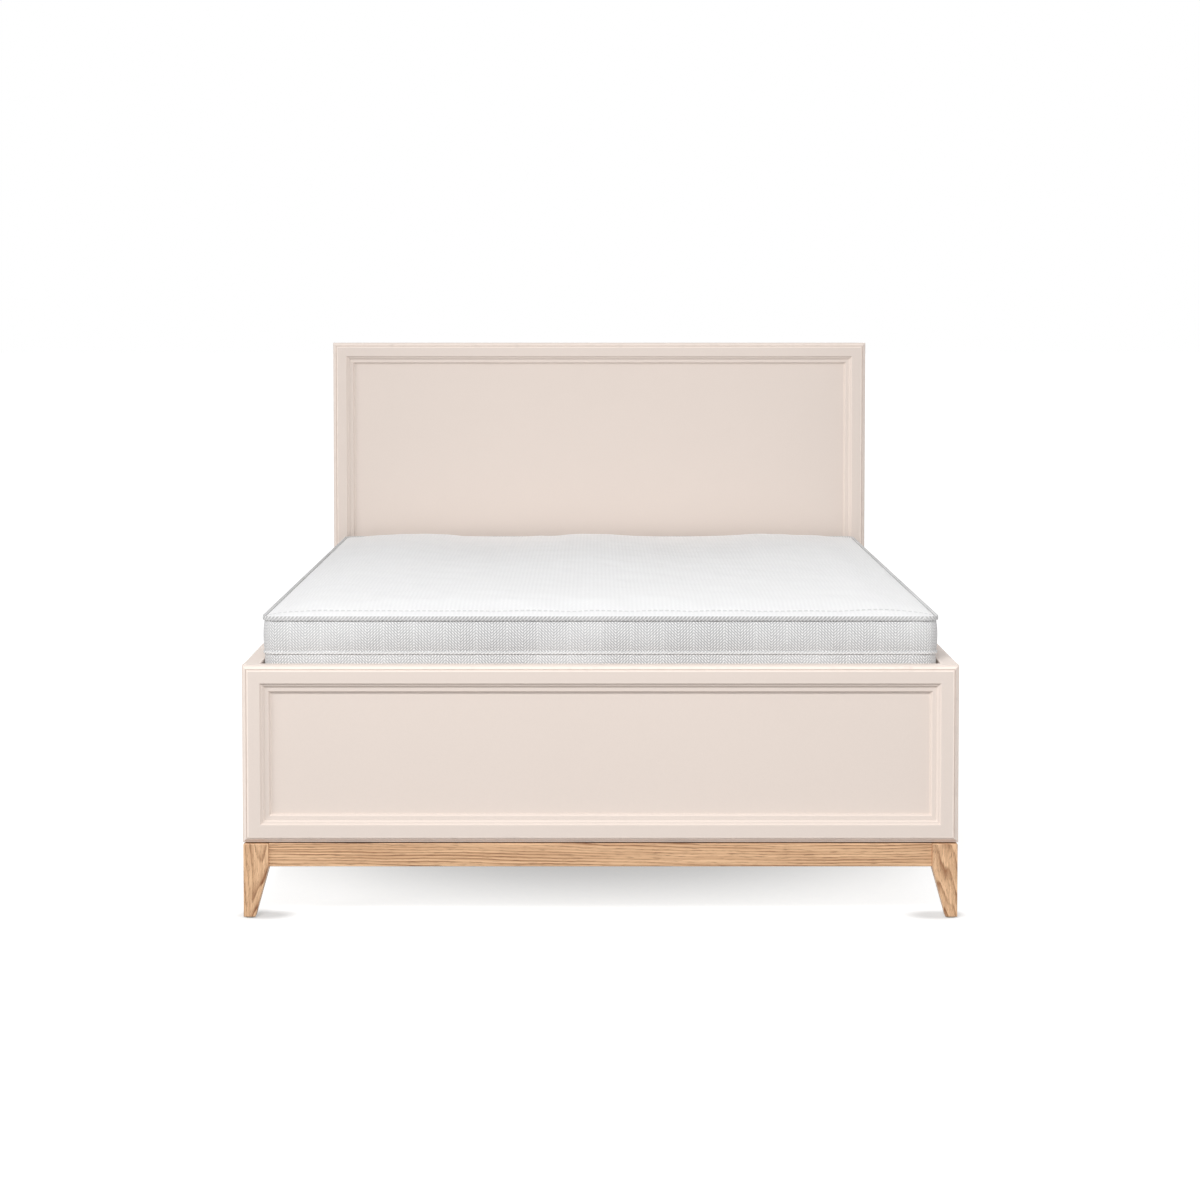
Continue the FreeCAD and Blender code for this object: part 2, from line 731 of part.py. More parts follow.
def strut_hole(name, height):
    """The pin hole of a strut's eye."""
    return cylinder(name, ACROSS, "strut_pin_radius + pin_clearance", "strut_eye_width",
                    ("-strut_eye_width / 2", 0, height))


def lean_strut(piece):
    """Set an upright strut piece on the foot pin, leaning to the arm's pin."""
    place(piece, ("strut_x", "strut_base_y", "strut_base_z"), Rotation(-ACROSS, 1))
    return bind(piece, {"Placement.Rotation.Angle": "strut_lean"})


def gas_struts():
    """Gas struts: a barrel on the hinge plate and a rod on the arm, on one line."""
    neck = "barrel_start - strut_eye_radius / 2"
    barrel = fuse(
        "barrel_with_eye",
        cylinder("barrel_body", UP, "barrel_radius", "barrel_length", (0, 0, "barrel_start")),
        cylinder("barrel_neck", UP, "strut_neck_radius", neck, (0, 0, "strut_eye_radius / 2")),
        strut_eye("barrel_eye", 0),
    )
    bore_foot = "barrel_start + barrel_foot_wall"
    bore_length = "barrel_length - barrel_foot_wall - barrel_end_wall"
    hollow = cut(
        "barrel_bored", barrel, strut_hole("barrel_hole", 0),
        cylinder("barrel_bore", UP, "barrel_bore_radius", bore_length, (0, 0, bore_foot)),
        cylinder("barrel_guide", UP, "rod_radius + rod_clearance", "barrel_length - barrel_foot_wall",
                 (0, 0, bore_foot)),
    )
    keep_pair("strut_barrel", lean_strut(hollow))
    rod = fuse(
        "rod_with_eye",
        cylinder("rod_bar", UP, "rod_radius", "strut_closed - rod_foot - strut_pin_radius - rod_radius / 2",
                 (0, 0, "rod_foot")),
        cylinder("rod_piston", UP, "barrel_bore_radius - rod_clearance", "piston_length",
                 (0, 0, "rod_foot")),
        strut_eye("rod_eye", "strut_closed"),
    )
    keep_pair("strut_rod", lean_strut(cut("rod_drilled", rod, strut_hole("rod_hole", "strut_closed"))))


def tube(name, size, at, run):
    """A square steel tube, hollow along one of its three sides (0, 1 or 2)."""
    inner_size = [text if index == run else f"{text} - 2 * tube_wall"
                  for index, text in enumerate(size)]
    inner_at = [text if index == run else f"{text} + tube_wall" for index, text in enumerate(at)]
    return cut(name, box(name + "_outside", size, at), box(name + "_inside", inner_size, inner_at))


def platform_frame():
    """The welded frame of five tubes under the slats."""
    keep_pair("frame_tube", tube("side_tube", ("tube_width", "frame_length", "tube_height"),
                                 ("tube_outer - tube_width", "frame_foot", "tube_bottom"), 1))
    across = ("2 * tube_inner", "tube_width", "tube_height")
    keep("foot_frame_tube", tube("foot_tube", across, ("-tube_inner", "frame_foot", "tube_bottom"), 0))
    keep("head_frame_tube", tube("head_tube", across,
                                 ("-tube_inner", "frame_head - tube_width", "tube_bottom"), 0))
    keep("centre_frame_tube", tube(
        "centre_tube", ("tube_width", "frame_length - 2 * tube_width", "tube_height"),
        ("-tube_width / 2", "frame_foot + tube_width", "tube_bottom"), 1))


def platform_pins():
    """Brackets on the side tubes, the pins in them and the head-end glides."""
    face = "tube_outer + lift_bracket_thickness"
    foot = "pin_z - lift_bracket_lip"
    brackets = []
    for stem in ("arm", "glide"):
        brackets.append(box(
            f"{stem}_bracket",
            ("lift_bracket_thickness", f"{stem}_bracket_length", f"tube_top - ({foot})"),
            ("tube_outer", f"{stem}_pin_y - {stem}_bracket_length / 2", foot)))
    keep_pair("frame_brackets", group("frame_bracket_pair", brackets))
    arm_at = ("arm_pin_y", "pin_z")
    cap_face = "arm_outer + pin_cap_gap"
    arm_pin = fuse(
        "arm_shoulder_pin",
        cylinder("arm_pin_collar", ACROSS, "pin_cap_radius", f"arm_inner - pin_cap_gap - ({face})",
                 (face,) + arm_at),
        cylinder("arm_pin_shank", ACROSS, "pin_radius", f"{cap_face} - ({face})", (face,) + arm_at),
        cylinder("arm_pin_cap", ACROSS, "pin_cap_radius", "pin_cap_thickness", (cap_face,) + arm_at),
    )
    glide_end = "inner_half_width - track_wall - track_glide_gap"
    glide_pin = cylinder("glide_pin", ACROSS, "track_pin_radius", f"{glide_end} - ({face})",
                         (face, "glide_pin_y", "pin_z"))
    keep("platform_pins", group("pins", [
        arm_pin, glide_pin, mirror("arm_pin_left", arm_pin), mirror("glide_pin_left", glide_pin)]))
    glide_at = (f"{glide_end} - track_glide_length", "glide_pin_y", "pin_z")
    glide = cut("track_glide",
                cylinder("glide_disc", ACROSS, "track_glide_radius", "track_glide_length", glide_at),
                cylinder("glide_hole", ACROSS, "track_pin_radius", "track_glide_length", glide_at))
    keep("track_glides", group("glide_pair", [glide, mirror("track_glide_left", glide)]))


def slat_y(index):
    """Foot-side edge of one slat."""
    return f"frame_foot + slat_end_margin + {index} * slat_pitch - slat_width / 2"


def slats():
    """Two rows of sprung slats in plastic holders."""
    slat_end = "tube_outer - holder_wall"
    slat_start = "holder_wall / 2"
    rows = []
    holders = []
    holder_width = "slat_width + 2 * holder_wall"
    for index in range(SLATS_IN_ROW):
        at_y = slat_y(index)
        slat = box(f"slat_{index}", (f"{slat_end} - ({slat_start})", "slat_width", "slat_thickness"),
                   (slat_start, at_y, "slat_bottom"))
        rows.append(slat)
        outer = box(f"holder_outer_{index}", ("holder_length", holder_width, "holder_height"),
                    ("tube_outer - holder_length", f"{at_y} - holder_wall", "tube_top"))
        centre = box(f"holder_centre_{index}", ("2 * holder_length", holder_width, "holder_height"),
                     ("-holder_length", f"{at_y} - holder_wall", "tube_top"))
        right = cut(f"holder_right_{index}", outer, slat)
        slat_left = mirror(f"slat_left_{index}", slat)
        holders += [right, mirror(f"holder_left_{index}", right),
                    cut(f"holder_middle_{index}", centre, slat, slat_left)]
    row = group("slat_row", rows)
    keep("right_slats", row)
    keep("left_slats", mirror("slat_row_left", row))
    keep("slat_holders", group("holders", holders))


def mattress_stops():
    """Two bent wires at the foot end that keep the lifted mattress from sliding."""
    foot_z = "tube_bottom + stop_foot_rise"
    near = "(stop_spacing / 2 - stop_width / 2)"
    pieces = [cylinder("stop_bar", ACROSS, "stop_wire_radius", "stop_width",
                       (near, "stop_y", f"{foot_z} + stop_height"))]
    for side in (0, 1):
        x = f"{near} + {side} * stop_width"
        pieces.append(cylinder(f"stop_post_{side}", UP, "stop_wire_radius", "stop_height",
                               (x, "stop_y", foot_z)))
        bend = doc.addObject("Part::Sphere", f"stop_bend_{side}")
        bind(bend, {"Radius": "stop_wire_radius"})
        pieces.append(place(bend, (x, "stop_y", f"{foot_z} + stop_height")))
        pieces.append(box(f"stop_tab_{side}",
                          ("stop_tab_width", "frame_foot - stop_y", "tube_height - 2 * stop_foot_rise"),
                          (f"{x} - stop_tab_width / 2", "stop_y", foot_z)))
    wire = fuse("stop_wire", *pieces)
    keep("mattress_stops", group("stop_wires", [wire, mirror("stop_wire_left", wire)]))


def pull_strap():
    """A webbing loop at the foot end, hidden behind the footboard."""
    front = "frame_foot - strap_offset"
    back = f"{front} - strap_thickness"
    foot_z = "tube_bottom + strap_foot_rise"
    drawing = side_outline("strap_outline", [
        ("frame_foot", foot_z),
        ("frame_foot", f"{foot_z} + strap_thickness"),
        (front, f"{foot_z} + strap_thickness"),
        (front, f"{foot_z} + strap_height"),
        (back, f"{foot_z} + strap_height"),
        (back, foot_z),
    ], "-strap_width / 2")
    keep("pull_strap", extrude("strap_loop", drawing, "strap_width"))


def rounded_wire(inset, height):
    """A rounded rectangle inside the mattress's outline, as lines and quarter arcs."""
    half_x = value("mattress_width / 2") - inset
    half_y = value("mattress_length / 2") - inset
    middle = value("mattress_middle")
    radius = value("mattress_corner_radius") + inset / 2
    diagonal = radius * (1 - math.sqrt(0.5))
    edges = []
    for sign_x, sign_y in ((1, 1), (-1, 1), (-1, -1), (1, -1)):
        x, y = sign_x * half_x, middle + sign_y * half_y
        beside = Vector(x, y - sign_y * radius, height)
        above = Vector(x - sign_x * radius, y, height)
        through = Vector(x - sign_x * diagonal, y - sign_y * diagonal, height)
        start, end = (beside, above) if sign_x * sign_y > 0 else (above, beside)
        if edges:
            edges.append(Part.LineSegment(edges[-1].EndPoint, start))
        edges.append(Part.Arc(start, through, end))
    edges.append(Part.LineSegment(edges[-1].EndPoint, edges[0].StartPoint))
    return Part.Wire([edge.toShape() for edge in edges])


def mattress_sections():
    """Inset and height of the mattress's outline from its underside to its crown."""
    low = value("bottom_round")
    seam = value("lower_band_height")
    tape = value("mattress_height")
    half_tape = value("tape_height") / 2
    pinch = value("seam_pinch")
    bow = value("border_bow")
    edge = value("tape_inset")
    roll = value("crown_roll")
    crown = value("mattress_crown")
    sections = [
        (low, 0), (low / 2, low / 4), (bow, low), (0, seam / 2),
        (pinch / 2, seam - half_tape), (pinch, seam), (pinch / 2, seam + half_tape),
        (0, (seam + tape) / 2), (bow, tape - 2 * half_tape), (edge, tape),
    ]
    # The crown rises as a quarter of a sine wave over the roll at the edge
    steps = 6
    for step in range(1, steps + 1):
        share = step / steps
        sections.append((edge + roll * share, tape + crown * math.sin(share * math.pi / 2)))
    return sections


def solid_feature(name, shape):
    """A piece whose shape comes from lofted sections."""
    piece = doc.addObject("Part::Feature", name)
    piece.Shape = shape
    return keep(name, piece)


def prism(inset, low, high):
    """The mattress's outline at one inset, between two heights."""
    return Part.Face(rounded_wire(inset, low)).extrude(Vector(0, 0, high - low))


def mattress():
    """The crowned mattress and the two tapes sewn round it."""
    foot = value("mattress_bottom")
    wires = [rounded_wire(inset, foot + height) for inset, height in mattress_sections()]
    body = Part.makeLoft(wires, True, True)
    cover = value("cover_thickness")
    hollow = prism(cover + value("tape_inset"), foot + cover, foot + value("mattress_height") - cover)
    solid_feature("mattress", body.cut(hollow))
    half = value("tape_height") / 2
    proud = value("tape_proud")
    tapes = {
        "mattress_top_tape": ("mattress_height", value("tape_inset") - proud),
        "mattress_seam_tape": ("lower_band_height", value("seam_pinch") - proud),
    }
    for name, (level, outside) in tapes.items():
        middle = foot + value(level)
        ring = prism(outside, middle - half, middle + half)
        core = prism(outside + value("tape_depth"), middle - half, middle + half)
        solid_feature(name, ring.cut(core).cut(body))


def check(piece):
    """Stop on a piece that did not come out as a sound solid."""
    bad = {"Invalid", "Error"} & set(piece.State)
    shape = getattr(piece, "Shape", None)
    if bad or (shape is not None and (shape.isNull() or not shape.isValid())):
        raise RuntimeError(f"{piece.Label} is {sorted(bad) or 'not a valid shape'}")


def main():
    """Build every piece, check it and write its file."""
    painted_boards()
    side_rails()
    legs()
    plinth()
    storage_floor()
    corner_brackets()
    platform_rests()
    hinge_plates()
    glide_tracks()
    plate_screws()
    lift_arms()
    gas_struts()
    platform_frame()
    platform_pins()
    slats()
    mattress_stops()
    pull_strap()
    mattress()
    doc.recompute()
    for piece in doc.Objects:
        check(piece)
    os.makedirs("parts", exist_ok=True)
    for name, piece in nodes.items():
        if not piece.Shape.Solids:
            raise RuntimeError(f"{name} holds no solid")
        piece.Shape.exportStep(f"parts/{name}.step")
        size = piece.Shape.BoundBox
        print(f"{name}: {len(piece.Shape.Solids)} solids, {piece.Shape.Volume:.0f} mm3,"
              f" {size.XLength:.1f} x {size.YLength:.1f} x {size.ZLength:.1f}")
    reach = value("strut_closed")
    print(f"{len(nodes)} nodes; strut {reach:.2f} mm closed, glide travel {value('glide_travel'):.1f} mm")


main()
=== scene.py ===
"""Storage bed: painted head and foot boards, oak plinth, lifting slatted platform and mattress."""

import json
import logging
import math
from dataclasses import dataclass, field
from enum import Enum
from typing import Callable, Sequence, Union

import bmesh
import bpy
import numpy as np
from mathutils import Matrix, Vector


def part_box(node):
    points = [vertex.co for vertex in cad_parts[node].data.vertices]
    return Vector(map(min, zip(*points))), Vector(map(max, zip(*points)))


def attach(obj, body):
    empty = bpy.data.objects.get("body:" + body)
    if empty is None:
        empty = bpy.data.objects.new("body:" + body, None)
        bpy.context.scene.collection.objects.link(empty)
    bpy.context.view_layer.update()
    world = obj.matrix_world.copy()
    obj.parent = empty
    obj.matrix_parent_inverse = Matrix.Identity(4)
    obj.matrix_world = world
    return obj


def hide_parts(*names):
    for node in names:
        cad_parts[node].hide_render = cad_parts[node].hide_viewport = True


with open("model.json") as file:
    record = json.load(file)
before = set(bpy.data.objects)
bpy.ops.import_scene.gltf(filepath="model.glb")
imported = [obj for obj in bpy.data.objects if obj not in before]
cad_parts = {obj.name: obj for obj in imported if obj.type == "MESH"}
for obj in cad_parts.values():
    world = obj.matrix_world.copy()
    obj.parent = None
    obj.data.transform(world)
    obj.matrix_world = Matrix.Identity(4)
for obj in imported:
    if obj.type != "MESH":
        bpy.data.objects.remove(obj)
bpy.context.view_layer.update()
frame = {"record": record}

log = logging.getLogger("storage_bed")

Array = np.ndarray
Object, Material, NodeTree = bpy.types.Object, bpy.types.Material, bpy.types.NodeTree
Node, Outputs, Socket = bpy.types.Node, bpy.types.NodeOutputs, bpy.types.NodeSocket
Value = Union[float, tuple, Socket]
Pair = tuple[float, float]
Triple = tuple[float, float, float]
Quad = tuple[float, float, float, float]
MM = 0.001
# Points closer than this are one point, in metres: of a surface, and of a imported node
SAME_PLACE = 1e-6
NEAR_PLACE = 1e-5
# Keeps a division by a length away from zero
SMALLEST = 1e-9
# Where the 45-degree line of a rounding lies, as a share of its radius
ROUNDING_MIDDLE = 0.5858
# Faces that turn less are merged, and edges that turn more are eased
FLAT_ANGLE = math.radians(0.5)
EDGE_ANGLE = math.radians(35)
# The part of a cloud's range over which the roughness changes
CLOUD_REACH = (0.2, 0.8)
# Metres along the grain in which a plank may start, and how far its pith may lie to either side
PLANK_START = 3
PITH_REACH = ((0.005, 0.03), (0.03, 0.08))
X_AXIS, Y_AXIS, Z_AXIS = np.eye(3)
ORIGIN = (0.0, 0.0, 0.0)


class Grain(Enum):
    """The direction in which a piece of wood, board or webbing runs."""

    ACROSS = 0
    ALONG = 1
    UPRIGHT = 2


class Half(Enum):
    """The two halves of the bed, with the sign of x on each."""

    RIGHT = 1
    LEFT = -1

    @property
    def word(self) -> str:
        """The name that nodes of this half begin with."""
        return self.name.lower()


def linked(name: str, data: bpy.types.ID) -> Object:
    """Make an object of its data and link it to the scene, at the origin.

    Args:
        name: the object's name.
        data: its mesh, light or camera.

    Returns:
        The object.
    """
    made = bpy.data.objects.new(name, data)
    bpy.context.scene.collection.objects.link(made)
    return made


def read_places(mesh: bpy.types.Mesh) -> Array:
    """Read a mesh's points.

    Args:
        mesh: the mesh.

    Returns:
        One row for each point.
    """
    places = np.empty(len(mesh.vertices) * 3, np.float32)
    mesh.vertices.foreach_get("co", places)
    return places.reshape(-1, 3).astype(float)


def write_places(mesh: bpy.types.Mesh, places: Array) -> None:
    """Write an array of points into a mesh."""
    mesh.vertices.foreach_set("co", places.astype(np.float32).ravel())


def smoothed(mesh: bpy.types.Mesh) -> None:
    """Shade all faces of a mesh smoothly."""
    mesh.polygons.foreach_set("use_smooth", np.ones(len(mesh.polygons), bool))
    mesh.update()


# Shapes worked out as whole arrays


@dataclass
class Outline:
    """A flat line of rounded corners: points, outward normals and how sharp the edge is at each point."""

    points: Array
    normals: Array
    edge: Array


def rounded(corners: Sequence[Triple], closed: bool = True, steps: int = 5) -> Outline:
    """Round every corner with a parabola: start*(1-s)^2 + corner*2s(1-s) + end*s^2.

    The start and the end lie one trim length before and after the corner, and the normal is the left-hand
    side of the travel, so a clockwise outline has its normals outside.

    Args:
        corners: the corner's two places and its trim length, in metres.
        closed: whether the last corner joins the first.
        steps: points on each corner.

    Returns:
        The outline, whose edge value is 1 on an outer corner and negative in an inner one.
    """
    table = np.asarray(corners, float)
    place, trim = table[:, :2], table[:, 2:]
    leave = np.roll(place, -1, axis=0) - place
    leave /= np.linalg.norm(leave, axis=1, keepdims=True)
    arrive = np.roll(leave, 1, axis=0)
    if not closed:
        arrive[0], leave[-1] = leave[0], arrive[-1]
    s = np.linspace(0.0, 1.0, steps)[None, :, None]
    before, after = place - arrive * trim, place + leave * trim
    points = before[:, None] * (1 - s) ** 2 + place[:, None] * 2 * s * (1 - s) + after[:, None] * s ** 2
    travel = arrive[:, None] * (1 - s) + leave[:, None] * s
    travel /= np.linalg.norm(travel, axis=2, keepdims=True)
    turn = arrive[:, 1] * leave[:, 0] - arrive[:, 0] * leave[:, 1]
    edge = np.sin(np.pi * s[..., 0]) * turn[:, None]
    points, travel, edge = points.reshape(-1, 2), travel.reshape(-1, 2), edge.reshape(-1)
    if not closed:
        keep = slice(steps - 1, len(points) - steps + 1)
        points, travel, edge = points[keep], travel[keep], edge[keep]
    return Outline(points, np.stack((-travel[:, 1], travel[:, 0]), 1), edge)


def circle(radius: float, count: int) -> Outline:
    """Give a clockwise circle: (r cos a, -r sin a).

    Args:
        radius: its radius in metres.
        count: points round it.

    Returns:
        The outline, with no edge.
    """
    angle = np.arange(count) * 2 * np.pi / count
    ring = np.stack((np.cos(angle), -np.sin(angle)), 1)
    return Outline(ring * radius, ring, np.zeros(count))


@dataclass
class Surface:
    """A mesh as whole arrays: points, normals, edge values, four-sided faces and flat end caps.

    Where it has them, grain is each point's place in its plank, corner_uv the weave map's place at each
    corner of a face, and finish each face's slot.
    """

    points: Array
    normals: Array
    edge: Array
    quads: Array
    caps: list[tuple[Array, Array]] = field(default_factory=list)
    grain: Array | None = None
    corner_uv: Array | None = None
    finish: Array | None = None

    def set_grain(self, axis: Grain, seed: int, tilt: float = 0.012) -> "Surface":
        """Give each point its place in its own plank, the first number along the grain.

        Args:
            axis: the way the grain runs.
            seed: picks the plank, so that two pieces never show the same figure.
            tilt: how far the pith leans per metre of length, which makes the rings close to arches.

        Returns:
            The surface itself.
        """
        order = np.roll(np.arange(3), -axis.value)
        middle = (self.points.max(0) + self.points.min(0)) / 2
        rng = np.random.default_rng(seed)
        start = rng.uniform(-PLANK_START, PLANK_START)
        pith = np.array([start] + [rng.choice((-1, 1)) * rng.uniform(*reach) for reach in PITH_REACH])
        self.grain = (self.points - middle)[:, order] + pith
        self.grain[:, 2] += tilt * self.grain[:, 0]
        return self

    def moved(self, change: Callable[[Array], Array]) -> "Surface":
        """Pass all points through one array function.

        Args:
            change: takes and gives an array of points.

        Returns:
            The surface itself.
        """
        self.points = change(self.points)
        return self

    def welded(self) -> "Surface":
        """Merge the points that share one place, to a thousandth of a millimetre.

        Returns:
            The surface itself, closed along its seams.
        """
        keys = np.round(self.points / SAME_PLACE).astype(np.int64)
        _, first, back = np.unique(keys, axis=0, return_index=True, return_inverse=True)
        back = back.reshape(-1)
        self.quads = back[self.quads]
        self.points, self.normals, self.edge = self.points[first], self.normals[first], self.edge[first]
        self.caps = [(back[ring], normal) for ring, normal in self.caps]
        if self.grain is not None:
            self.grain = self.grain[first]
        return self

    def object(self, name: str, custom_normals: bool = True) -> Object:
        """Put the arrays into a Blender mesh.

        Args:
            name: the new object's name.
            custom_normals: whether the worked-out normals are kept for the shading.

        Returns:
            The object, at the origin.
        """
        mesh = bpy.data.meshes.new(name)
        rings = [ring.tolist() for ring, _ in self.caps]
        mesh.from_pydata(self.points.tolist(), [], self.quads.tolist() + rings)
        mesh.attributes.new("edge", "FLOAT", "POINT").data.foreach_set("value", self.edge.astype(np.float32))
        if self.grain is not None:
            layer = mesh.attributes.new("grain", "FLOAT_VECTOR", "POINT")
            layer.data.foreach_set("vector", self.grain.astype(np.float32).ravel())
        extra = sum(len(ring) for ring in rings)
        if self.corner_uv is not None:
            uv = np.vstack((self.corner_uv, np.zeros((extra, 2))))
            mesh.uv_layers.new(name="weave").data.foreach_set("uv", uv.astype(np.float32).ravel())
        if self.finish is not None:
            slots = np.concatenate((self.finish, np.zeros(len(rings), int)))
            mesh.polygons.foreach_set("material_index", slots.astype(np.int32))
        smoothed(mesh)
        if custom_normals:
            flat = [np.repeat(normal[None], len(ring), 0) for ring, normal in self.caps]
            mesh.normals_split_custom_set(np.vstack([self.normals[self.quads.ravel()]] + flat).tolist())
        return linked(name, mesh)


def joined(parts: Sequence[Surface]) -> Surface:
    """Put several surfaces into one.

    Args:
        parts: the surfaces, all with or all without grain and weave.

    Returns:
        One surface with all their faces.
    """
    starts = np.cumsum([0] + [len(part.points) for part in parts])
    caps = [(ring + start, normal) for part, start in zip(parts, starts) for ring, normal in part.caps]
    whole = Surface(
        np.vstack([part.points for part in parts]), np.vstack([part.normals for part in parts]),
        np.concatenate([part.edge for part in parts]),
        np.vstack([part.quads + start for part, start in zip(parts, starts)]), caps)
    if parts[0].grain is not None:
        whole.grain = np.vstack([part.grain for part in parts])
    if parts[0].corner_uv is not None:
        whole.corner_uv = np.vstack([part.corner_uv for part in parts])
    if parts[0].finish is not None:
        whole.finish = np.concatenate([part.finish for part in parts])
    return whole


def grid_quads(rows: int, columns: int, wrap_rows: bool = False, wrap_columns: bool = False) -> Array:
    """Number the faces of a grid whose point (j, i) is j*columns + i.

    Args:
        rows: points in the first direction.
        columns: points in the second direction.
        wrap_rows: whether the last row joins the first.
        wrap_columns: whether the last column joins the first.

    Returns:
        The faces, which turn from the first direction to the second.
    """
    j = np.arange(rows if wrap_rows else rows - 1)[:, None]
    i = np.arange(columns if wrap_columns else columns - 1)[None, :]
    next_j, next_i = (j + 1) % rows, (i + 1) % columns
    corners = [j * columns + i, next_j * columns + i, next_j * columns + next_i, j * columns + next_i]
    return np.stack([corner.reshape(-1) for corner in corners], 1)


def member(section: Outline, origin: Array, u: Array, v: Array, w: Array, reach: float) -> Surface:
    """Carry a moulding's section along w and cut both ends to a mitre: place = (reach - u) on each end.

    Args:
        section: the section, u from the outer edge inwards and v from the back.
        origin: the middle of the outer back edge.
        u: the way inwards.
        v: the way to the front.
        w: the way along, with u, v and w right-handed.
        reach: half the length of the outer edge.

    Returns:
        The closed member.
    """
    across = section.points[:, :1] * u + section.points[:, 1:] * v
    run = (reach - section.points[:, :1]) * w
    points = np.vstack((origin + across - run, origin + across + run))
    normals = np.tile(section.normals[:, :1] * u + section.normals[:, 1:] * v, (2, 1))
    count = len(section.points)
    ring = np.arange(count)
    mitre = (u + w) / math.sqrt(2)
    caps = [(ring, (u - w) / math.sqrt(2)), (ring[::-1] + count, mitre)]
    return Surface(points, normals, np.tile(section.edge, 2), grid_quads(2, count, wrap_columns=True), caps)


def carried(section: Outline, route: Outline, origin: Array, e1: Array, e2: Array,
            closed: bool = True) -> Surface:
    """Carry a section along a flat route: place = route + a * left-hand side + b * up.

    Args:
        section: a clockwise outline, a to the left of the travel and b upwards.
        route: the line that it follows, counter-clockwise where it is closed.
        origin: the route's origin.
        e1: the route's first direction.
        e2: the route's second direction; up is e1 x e2.
        closed: whether the route's end joins its start.

    Returns:
        The closed surface, its weave measured in metres along the route and round the section.
    """
    up = np.cross(e1, e2)
    line = origin + route.points[:, :1] * e1 + route.points[:, 1:] * e2
    side = route.normals[:, :1] * e1 + route.normals[:, 1:] * e2
    a, b = section.points[None, :, :1], section.points[None, :, 1:]
    points = (line[:, None] + a * side[:, None] + b * up).reshape(-1, 3)
    a, b = section.normals[None, :, :1], section.normals[None, :, 1:]
    normals = (a * side[:, None] + b * up).reshape(-1, 3)
    rows, columns = len(line), len(section.points)
    quads = grid_quads(rows, columns, closed, True)
    steps = np.linalg.norm(np.roll(line, -1, axis=0) - line, axis=1)
    run = np.concatenate(([0.0], np.cumsum(steps)))
    girth = np.linalg.norm(np.roll(section.points, -1, axis=0) - section.points, axis=1)
    round_it = np.concatenate(([0.0], np.cumsum(girth)))
    j, i = quads[:, 0] // columns, quads[:, 0] % columns
    uv = np.stack((run[[j, j + 1, j + 1, j]], round_it[[i, i, i + 1, i + 1]]), 2)
    caps: list[tuple[Array, Array]] = []
    if not closed:
        ring = np.arange(columns)
        ahead = np.cross(side, up)
        caps = [(ring, -ahead[0]), (ring[::-1] + (rows - 1) * columns, ahead[-1])]
    surface = Surface(points, normals, np.tile(section.edge, rows), quads, caps)
    surface.corner_uv = uv.transpose(1, 0, 2).reshape(-1, 2)
    return surface


def box_grid(knots: Sequence[Array]) -> tuple[Surface, Array]:
    """Lay a grid on each of a box's six sides, cut at the same places on every side.

    Args:
        knots: the places of the cuts on x, y and z.

    Returns:
        The box, not yet merged along its edges, and the side number (axis, plus 3 on the high side) of each
        face.
    """
    parts, sides = [], []
    for axis in range(3):
        one, two = (axis + 1) % 3, (axis + 2) % 3
        for high in (False, True):
            points = np.empty((len(knots[one]), len(knots[two]), 3))
            points[..., axis] = knots[axis][-1 if high else 0]
            points[..., one] = knots[one][:, None]
            points[..., two] = knots[two][None, :]
            quads = grid_quads(len(knots[one]), len(knots[two]))
            quads = quads if high else quads[:, ::-1]
            flat = points.reshape(-1, 3)
            parts.append(Surface(flat, flat * 0, flat[:, 0] * 0, quads))
            sides.append(np.full(len(quads), axis + 3 * high))
    return joined(parts), np.concatenate(sides)


def block(low: Array, high: Array, radius: float, margin: float = 2 * MM,
          cuts: Sequence[int] = (1, 1, 1)) -> Surface:
    """Make a box with every edge and corner rounded: place = core + radius * direction from the core.

    Args:
        low: its lowest corner.
        high: its highest corner.
        radius: the rounding.
        margin: width of the flat strip beside each rounding.
        cuts: how many stretches the middle of each axis is cut into.

    Returns:
        The block, welded, with an edge value of 1 on its edges.
    """
    ease = np.array([0.0, ROUNDING_MIDDLE, 1.0]) * radius
    knots = []
    for axis in range(3):
        size = high[axis] - low[axis]
        step = min(margin, size / 2 - radius) if size > 2.2 * radius else 0.0
        inner = np.linspace(low[axis] + radius + step, high[axis] - radius - step, cuts[axis] + 1)
        knots.append(np.unique(np.round(np.concatenate((low[axis] + ease, inner, high[axis] - ease)), 7)))
    surface, _ = box_grid(knots)
    core = np.clip(surface.points, low + radius, high - radius)
    out = surface.points - core
    closeness = np.sort(np.abs(out) / radius, axis=1)[:, 1]
    direction = out / np.linalg.norm(out, axis=1, keepdims=True)
    surface.points = core + radius * direction
    surface.normals, surface.edge = direction, closeness
    return surface.welded()


